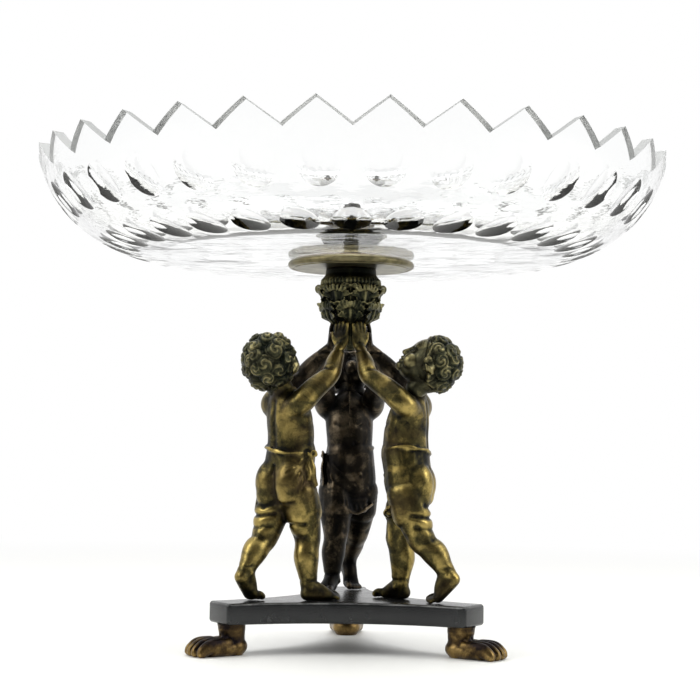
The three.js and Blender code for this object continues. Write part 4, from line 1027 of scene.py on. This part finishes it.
def leaf_wax(leaf, width):
    """An acanthus leaf at azimuth 0: fanning ribs that roll over at the lip, and curling lobes."""
    bm = bmesh.new()
    line = np.array(leaf, dtype=float)
    shares = np.linspace(0, 1, len(line))

    def on_leaf(share, aside, lift=0.0):
        radius = np.interp(share, shares, line[:, 0]) + lift
        wrap = aside / BELL_RADIUS
        height = np.interp(share, shares, line[:, 1])
        return Vector((radius * math.cos(wrap), radius * math.sin(wrap), height))

    for rib in range(-3, 4):
        stations = []
        for fan, share in zip(LEAF_OUTLINE, shares):
            fall = 0.16 * abs(rib) * share
            size = (1.05 if rib == 0 else 0.82) * (1 - 0.3 * share**3)
            lift = 0.45 if rib == 0 else -0.12 * abs(rib)
            place = on_leaf(share, fan * width * rib / 3, lift) - Vector((0, 0, 2 * fall))
            stations.append((place, size, 0.85 * size))
        strand(bm, stations, (0, 1, 0), 2, 0.45)
    for side in (-1, 1):
        for level in range(3):
            share = 0.1 + 0.17 * level
            edge = width * (0.66 + 0.12 * level)
            for finger in range(3):
                rise = share + 0.05 + 0.045 * finger
                reach = edge + 1.9 - 0.75 * finger
                lobe = [
                    (on_leaf(share, 0.55 * side * edge), 0.9, 0.7),
                    (on_leaf(0.5 * (share + rise), 0.9 * side * edge, 0.6), 0.8, 0.65),
                    (on_leaf(rise, side * reach, 1.5), 0.72, 0.6),
                    (on_leaf(rise + 0.02, side * (reach + 0.3), 2.3), 0.5, 0.45),
                ]
                strand(bm, lobe, (0, 0, 1), 1, 0.6)
            out = Vector((1, 0.45 * side, 0.1)).normalized()
            eye_ring(bm, on_leaf(share + 0.13, 0.86 * side * edge, 0.75), out, 0.72)
    return mesh_of(bm)


def capital_mesh():
    bm = lathe(BELL_LINE, 96)
    pitch = 360 / LEAF_COUNT
    tall = leaf_wax(TALL_LEAF, 5.2)
    short = leaf_wax(SHORT_LEAF, 4.8)
    short.transform(spun(pitch / 2))
    for _ in range(LEAF_COUNT):
        for leaf in (tall, short):
            leaf.transform(spun(pitch))
            bm.from_mesh(leaf)
    mesh = cast_skin(bm, CAPITAL_VOXEL, 2)
    points, _ = surface(mesh)
    height = points[:, 2]
    radius = np.hypot(points[:, 0], points[:, 1])
    azimuth = np.arctan2(points[:, 1], points[:, 0])
    outline = sorted((place, wide) for wide, place in BELL_LINE[1:-2])
    core = np.interp(height, [place for place, _ in outline], [wide for _, wide in outline])
    bare_core = fade(radius - core, 0.7, 0.3)

    def between(low, high):
        return bare_core * fade(height, low, low + 2) * fade(height, high, high - 1)

    ribs = 0.3 * between(19, 37.4) * np.cos(BELL_RIBS * azimuth)
    flutes = 0.45 * between(4, 15.5) * (np.abs(np.cos(0.5 * STEM_FLUTES * azimuth)) - 0.6)
    points[:, :2] += (ribs + flutes)[:, None] * np.column_stack((np.cos(azimuth), np.sin(azimuth)))
    points[:, 2] = np.clip(height, 0, CAPITAL_TOP)
    reshape(mesh, points)
    # Painted shade: the top band of the capital, under the plate, is darker.
    neck_band = fade(height, 37.6, 39)
    outwards = fade(radius, 12.6, 16.1)
    paint(mesh, "wear_and_shading", 0.12 + 0.9 * relief(mesh, 50) + 0.25 * outwards - 0.5 * neck_band)
    mesh.transform(Matrix.Translation((0, 0, CAPITAL_BASE)))
    return mesh


LEAF_COLOURS = ((0.006, 0.007, 0.006), (0.028, 0.03, 0.017), (0.16, 0.145, 0.07), (0.012, 0.012, 0.008))
leaf_bronze = cast_bronze("leaf_bronze", LEAF_COLOURS, 0.42)
capital = capital_mesh()
shaded(capital, 70)
piece("leaf_capital", capital, [leaf_bronze], "dark_bronze", "leaf_capital")


# Bowl plate: a turned brass disc with a rounded edge, held down on the capital. Its top is recessed for a
# thin leather pad that the glass sits on. A steel stud from the capital comes up through both.
PLATE_BASE, PLATE_TOP, PLATE_RADIUS = measured(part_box("bowl_plate"))
PAD_RECESS = 28.2  # radius of the recess
STUD_HOLE = 2.7  # radius of the bore


def arc(centre, radius, start, end, steps):
    """Points on a round part of a profile, between two angles in degrees."""
    angles = [math.radians(start + (end - start) * step / steps) for step in range(steps + 1)]
    return [(centre[0] + radius * math.cos(angle), centre[1] + radius * math.sin(angle)) for angle in angles]


def turned_metal(name, dark, bright, rings):
    """Lathe-turned metal with fine rings about the axis, dulled by age."""
    material, shader, node, place = finish_nodes(name)
    flat = node("ShaderNodeVectorMath", place, (1, 1, 0), operation="MULTIPLY").outputs[0]
    apart = node("ShaderNodeVectorMath", flat, operation="LENGTH").outputs["Value"]
    ring = node("ShaderNodeTexNoise", noise_dimensions="1D", W=apart, Scale=rings, Detail=4.0).outputs["Fac"]
    cloud = noise(node, place, 140.0, 8.0, 0.6)
    both = node("ShaderNodeMath", ring, 0.35, cloud, operation="MULTIPLY_ADD").outputs[0]
    node(shader, Base_Color=colour_ramp(node, both, (0.45, dark), (0.8, bright)), Metallic=1.0,
         Roughness=spread(node, cloud, 0.42, 0.26), Normal=bump(node, ring, 0.12, 0.0001))
    return material


plate_brass = turned_metal("plate_brass", (0.042, 0.037, 0.018), (0.185, 0.16, 0.085), 3000.0)
thick = PLATE_TOP - PLATE_BASE
pad_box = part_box("glass_pad")
pad_floor = measured(pad_box)[0] - PLATE_BASE - 0.05
plate_line = [(STUD_HOLE, 0), (PLATE_RADIUS - 3.4, 0), (PLATE_RADIUS - 3, 0.5), (PLATE_RADIUS - 2.3, 0.5)]
plate_line += arc((PLATE_RADIUS - 1.85, 2.05), 1.85, -100, 60, 14)
plate_line += [(PLATE_RADIUS - 1.6, thick - 0.35), (PLATE_RADIUS - 2, thick), (PAD_RECESS + 0.2, thick),
               (PAD_RECESS, thick - 0.2), (PAD_RECESS, pad_floor), (STUD_HOLE, pad_floor)]
plate = mesh_of(lathe(plate_line, 160, closed=True))
plate.transform(Matrix.Translation((0, 0, PLATE_BASE)))
shaded(plate, 28)
piece("bowl_plate", plate, [plate_brass], "plate_brass", "bowl_plate")


def thin_leather():
    """Tan leather, pressed smooth and darkened at the edge."""
    material, shader, node, place = finish_nodes("leather")
    pores = node("ShaderNodeTexVoronoi", Vector=place, Scale=1800.0).outputs["Distance"]
    stain = noise(node, place, 200.0, 6.0)
    colour = colour_ramp(node, stain, (0.3, (0.09, 0.06, 0.035)), (0.7, (0.24, 0.17, 0.1)))
    node(shader, Base_Color=colour, Roughness=0.8, Normal=bump(node, pores, 0.4, 0.0001))
    return material


def soft_ring(name, box, material):
    """A flat ring of leather round the stud, with soft edges."""
    base, top, radius = measured(box)
    soft = 0.35 * (top - base)
    line = [(STUD_HOLE, base), *arc((radius - soft, base + soft), soft, -90, 0, 4),
            *arc((radius - soft, top - soft), soft, 0, 90, 4), (STUD_HOLE, top)]
    ring = mesh_of(lathe(line, 96, closed=True))
    shaded(ring, 40)
    piece(name, ring, [material], "leather", name)


leather = thin_leather()
soft_ring("glass_pad", pad_box, leather)
refinished("centre_stud", steel)


# Bowl: heavy clear glass, blown and then cut. The rim is cut into pointed teeth whose edges are ground, and
# a wheel has cut two rows of ovals into the outer wall. It is bored in the middle for the stud.
BOWL_BASE, BOWL_TOP, _ = measured(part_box("glass_bowl"))
BOWL_HEIGHT = BOWL_TOP - BOWL_BASE
BOWL_RADIUS = 160
FLOOR_RADIUS = 98
CURVE_HEIGHT = 58.5
GLASS_WALL, GLASS_FLOOR, GLASS_BORE = 5.2, 6.5, 3.6
FLOOR_RINGS = (30, 64)  # more points across the flat floor
SEAT_RADIUS, SEAT_DEPTH = 9.5, 0.2  # a ground ring under the washer
TOOTH_COUNT, TOOTH_DEPTH = 32, 11.4
UPPER_CUT = {"length": 31, "width": 20, "depth": 2, "angle": 52}
LOWER_CUT = {"length": 30, "width": 18, "depth": 1.9, "angle": 19}
WHEEL_EDGE = 7  # half the thickness of the cutting wheel's round edge
WALL_STEPS = 26
WALL_REACH = (BOWL_RADIUS - FLOOR_RADIUS) / math.sin(math.acos(1 - BOWL_HEIGHT / CURVE_HEIGHT))


def wall_point(angle, wall, floor):
    """A point on the quarter ellipse of the outer wall, or on the inner one a wall's thickness inside."""
    radius = FLOOR_RADIUS + (WALL_REACH - wall) * math.sin(angle)
    return radius, CURVE_HEIGHT - (CURVE_HEIGHT - floor) * math.cos(angle)


def wall_line(wall, floor):
    rim = math.acos((CURVE_HEIGHT - BOWL_HEIGHT) / (CURVE_HEIGHT - floor))
    return [wall_point(rim * step / WALL_STEPS, wall, floor) for step in range(WALL_STEPS + 1)]


def cutting_wheels(cut, azimuths):
    """The round edge of the wheel at every place of a row, sunk into the wall to the depth of the cut."""
    rise = WHEEL_EDGE - cut["depth"]
    share = math.sqrt(1 - (rise / WHEEL_EDGE) ** 2)  # of the wheel's width at the surface of the wall
    angle = math.radians(cut["angle"])
    radius, height = wall_point(angle, 0, 0)
    slope = math.atan2(CURVE_HEIGHT * math.sin(angle), WALL_REACH * math.cos(angle))
    half_sizes = (cut["length"] / 2 / share, cut["width"] / 2 / share, WHEEL_EDGE, 1)
    lean = Matrix.Translation((radius, 0, height)) @ Matrix.Rotation(-slope, 4, "Y")
    edge = lean @ Matrix.Translation((0, 0, -rise)) @ Matrix.Diagonal(half_sizes)
    bm = bmesh.new()
    for azimuth in azimuths:
        bmesh.ops.create_uvsphere(bm, u_segments=72, v_segments=36, radius=1, matrix=spun(azimuth) @ edge)
    return mesh_of(bm)


def tooth_gaps(azimuths):
    """A wedge for every gap between two teeth. Its faces are marked as ground glass."""
    past = 1.4  # how far the wedge is continued beyond the points of the teeth
    half_width = past * BOWL_RADIUS * math.tan(math.pi / TOOTH_COUNT)
    low = BOWL_HEIGHT - TOOTH_DEPTH
    high = low + past * TOOTH_DEPTH
    start, length = BOWL_RADIUS - 30, 60
    bm = bmesh.new()
    for azimuth in azimuths:
        corners = [(start, 0, low), (start, half_width, high), (start, -half_width, high)]
        face = bm.faces.new([bm.verts.new(spun(azimuth) @ Vector(corner)) for corner in corners])
        rise = bmesh.ops.extrude_face_region(bm, geom=[face], use_keep_orig=True)
        moved = [made for made in rise["geom"] if isinstance(made, bmesh.types.BMVert)]
        bmesh.ops.translate(bm, verts=moved, vec=around(azimuth, length))
    bmesh.ops.recalc_face_normals(bm, faces=bm.faces)
    for face in bm.faces:
        face.material_index = 1
    return mesh_of(bm)


def clear_glass(name, tint, roughness, clearness, scale, detail, strength, distance):
    """Cut glass with faint ripples. Lamps shine through it, so that it throws only a faint shadow."""
    material, shader, node, place = finish_nodes(name)
    stretched = node("ShaderNodeMapping", Vector=place, Scale=(1, 1, 5)).outputs["Vector"]
    ripples = bump(node, noise(node, stretched, scale, detail), strength, distance)
    node(shader, Base_Color=tint, Roughness=roughness, IOR=1.55, Transmission_Weight=clearness,
         Normal=ripples)
    clear = node("ShaderNodeBsdfTransparent", Color=(0.93, 0.93, 0.93)).outputs["BSDF"]
    shadow = node("ShaderNodeLightPath").outputs["Is Shadow Ray"]
    mixed = node("ShaderNodeMixShader", shadow, shader.outputs["BSDF"], clear).outputs["Shader"]
    node(material.node_tree.nodes["Material Output"], Surface=mixed)
    return material


glass = clear_glass("glass", (0.975, 0.98, 0.98), 0.0, 1.0, 46.0, 3.0, 0.14, 0.001)
ground_glass = clear_glass("ground_glass", (0.4, 0.41, 0.4), 0.3, 0.3, 300.0, 4.0, 0.3, 0.0003)


def bowl_mesh():
    """The blown blank, cut. Every second cut is in a tool of its own, so that no two in a tool overlap."""
    outside = [(GLASS_BORE, 0), *((ring, 0) for ring in FLOOR_RINGS), *wall_line(0, 0)]
    inside = [(ring, GLASS_FLOOR) for ring in (SEAT_RADIUS, *FLOOR_RINGS)]
    inside += wall_line(GLASS_WALL, GLASS_FLOOR)
    seat = [(ring, GLASS_FLOOR - SEAT_DEPTH) for ring in (SEAT_RADIUS, GLASS_BORE)]
    blank = placed("blank", mesh_of(lathe(outside + inside[::-1] + seat, 320, closed=True)))
    pitch = 360 / TOOTH_COUNT
    valleys = [i * pitch - 90 for i in range(TOOTH_COUNT)]
    teeth = [azimuth + pitch / 2 for azimuth in valleys]
    used = [blank]
    for start in (0, 1):
        for cutter in (
            cutting_wheels(UPPER_CUT, teeth[start::2]),
            cutting_wheels(LOWER_CUT, valleys[start::2]),
            tooth_gaps(valleys[start::2]),
        ):
            used.append(placed("tool", cutter))
            cut = blank.modifiers.new("cut", "BOOLEAN")
            cut.operation = "DIFFERENCE"
            cut.solver = "MANIFOLD"
            cut.object = used[-1]
    for shape in used:
        shape.data.materials.append(glass)
        shape.data.materials.append(ground_glass)
    made = bpy.data.meshes.new_from_object(blank.evaluated_get(bpy.context.evaluated_depsgraph_get()))
    for shape in used:
        bpy.data.objects.remove(shape)
    made.transform(Matrix.Translation((0, 0, BOWL_BASE)))
    return made


bowl = bowl_mesh()
shaded(bowl, 14)
piece("glass_bowl", bowl, [glass, ground_glass], "glass", "glass_bowl")


# Finial nut and washer: a turned knob of grey metal in the middle of the bowl, screwed on the stud over a
# leather washer. It draws the glass down on its pad.
soft_ring("finial_washer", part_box("finial_washer"), leather)
FINIAL_BASE, FINIAL_TOP, FINIAL_RADIUS = measured(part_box("finial_nut"))
FINIAL_HOLE = 6.4  # depth of the threaded hole
knob_height = FINIAL_TOP - FINIAL_BASE
knob_line = [(STUD_HOLE, 0), (FINIAL_RADIUS - 0.3, 0), (FINIAL_RADIUS, 0.3)]
for share, height in ((1, 1), (0.92, 1.6), (0.66, 2.4), (0.56, 3.2), (0.62, 3.9)):
    knob_line.append((share * FINIAL_RADIUS, height))
knob_line += arc((0, 0.62 * knob_height), 0.38 * knob_height, -36, 88, 18)
knob_line += [(0, knob_height), (0, FINIAL_HOLE + 0.2), (STUD_HOLE, FINIAL_HOLE)]
knob = mesh_of(lathe(knob_line, 96, closed=True))
knob.transform(Matrix.Translation((0, 0, FINIAL_BASE)))
shaded(knob, 35)
grey_metal = turned_metal("grey_metal", (0.035, 0.036, 0.036), (0.14, 0.14, 0.135), 2500.0)
piece("finial_nut", knob, [grey_metal], "steel", "finial_nut")


# Stage: a pale table top that keeps the shadow, and white surroundings like a photographer's light tent. The
# tent is open towards the front, so glass edges and bronze also mirror a darker room.
floor_bm = bmesh.new()
bmesh.ops.create_grid(floor_bm, x_segments=1, y_segments=1, size=6)
floor = placed("table_top", mesh_of(floor_bm))


def table_finish():
    """Warm white near the object. Further back it fades into the white backdrop."""
    material, shader, node, place = finish_nodes("table_top")
    apart = node("ShaderNodeVectorMath", place, operation="LENGTH").outputs["Value"]
    far = node("ShaderNodeMapRange", interpolation_type="SMOOTHSTEP", Value=apart, From_Min=0.35,
               From_Max=1.1)
    white = node("ShaderNodeEmission", Strength=1.0).outputs["Emission"]
    node(shader, Base_Color=(0.86, 0.86, 0.83), Roughness=0.55)
    mixed = node("ShaderNodeMixShader", far.outputs["Result"], shader.outputs["BSDF"], white)
    node(material.node_tree.nodes["Material Output"], Surface=mixed.outputs["Shader"])
    return material


floor.data.materials.append(table_finish())

ROOM_WHITE = 1.0
ROOM_LIGHT = 0.75  # what falls on the object from all sides
DARK_SIDE = 0.12  # the open front of the tent, as metal mirrors it
DARK_THROUGH_GLASS = 0.6  # the same, as it shows through the glass


def surroundings():
    """White to the camera. What glass and metal mirror is white behind and above, and dark in front."""
    world = bpy.data.worlds.new("light_tent")
    bpy.context.scene.world = world
    world.use_nodes = True
    world.node_tree.nodes.clear()
    node = node_maker(world.node_tree)
    ray = node("ShaderNodeLightPath").outputs
    ahead = node("ShaderNodeSeparateXYZ", node("ShaderNodeTexCoord").outputs["Generated"]).outputs["Y"]
    darkest = node("ShaderNodeMath", ray["Is Transmission Ray"], DARK_THROUGH_GLASS - DARK_SIDE, DARK_SIDE,
                   operation="MULTIPLY_ADD").outputs[0]
    front = node("ShaderNodeMapRange", interpolation_type="SMOOTHSTEP", Value=ahead, From_Min=-0.75,
                 From_Max=-0.15, To_Min=darkest, To_Max=ROOM_WHITE).outputs["Result"]
    mirrored = node("ShaderNodeMath", ray["Is Glossy Ray"], ray["Is Transmission Ray"], operation="MAXIMUM")
    tent, seen, soft = (
        node("ShaderNodeBackground", (1, 1, 1), strength).outputs[0]
        for strength in (front, ROOM_WHITE, ROOM_LIGHT)
    )
    unseen = node("ShaderNodeMixShader", mirrored.outputs[0], soft, tent).outputs[0]
    light = node("ShaderNodeMixShader", ray["Is Camera Ray"], unseen, seen).outputs[0]
    node("ShaderNodeOutputWorld", light)


surroundings()


# Lamps and camera: three large soft boxes, left front, right front and above. The camera stands at the
# photograph's height.


def soft_box(name, place, aim, size, power):
    lamp = bpy.data.lights.new(name, "AREA")
    lamp.shape = "RECTANGLE"
    lamp.size, lamp.size_y = size
    lamp.energy = power
    made = placed(name, lamp)
    made.location = place
    made.rotation_euler = (Vector(aim) - Vector(place)).to_track_quat("-Z", "Y").to_euler()


soft_box("left_soft_box", (-0.9, -0.45, 0.75), (0, 0, 0.12), (0.5, 0.7), 5)
soft_box("right_soft_box", (0.95, -0.3, 0.6), (0, 0, 0.12), (0.4, 0.7), 4)
soft_box("top_soft_box", (0, 0.25, 1.25), (0, 0, 0.1), (0.9, 0.7), 6)

CAMERA_LENS, CAMERA_PLACE = 82.44, (0, -0.820, 0.0953)
CAMERA_RISE, CAMERA_ROLL = 0.0683, 0.013
camera_data = bpy.data.cameras.new("camera")
camera_data.sensor_width = 36
camera_data.lens = CAMERA_LENS
camera_data.clip_start = 0.01
camera = placed("camera", camera_data)
looking = Matrix.Rotation(math.pi / 2 + CAMERA_RISE, 4, "X") @ Matrix.Rotation(CAMERA_ROLL, 4, "Z")
camera.matrix_world = Matrix.Translation(CAMERA_PLACE) @ looking
bpy.context.scene.camera = camera
bpy.context.scene.view_settings.view_transform = "Standard"
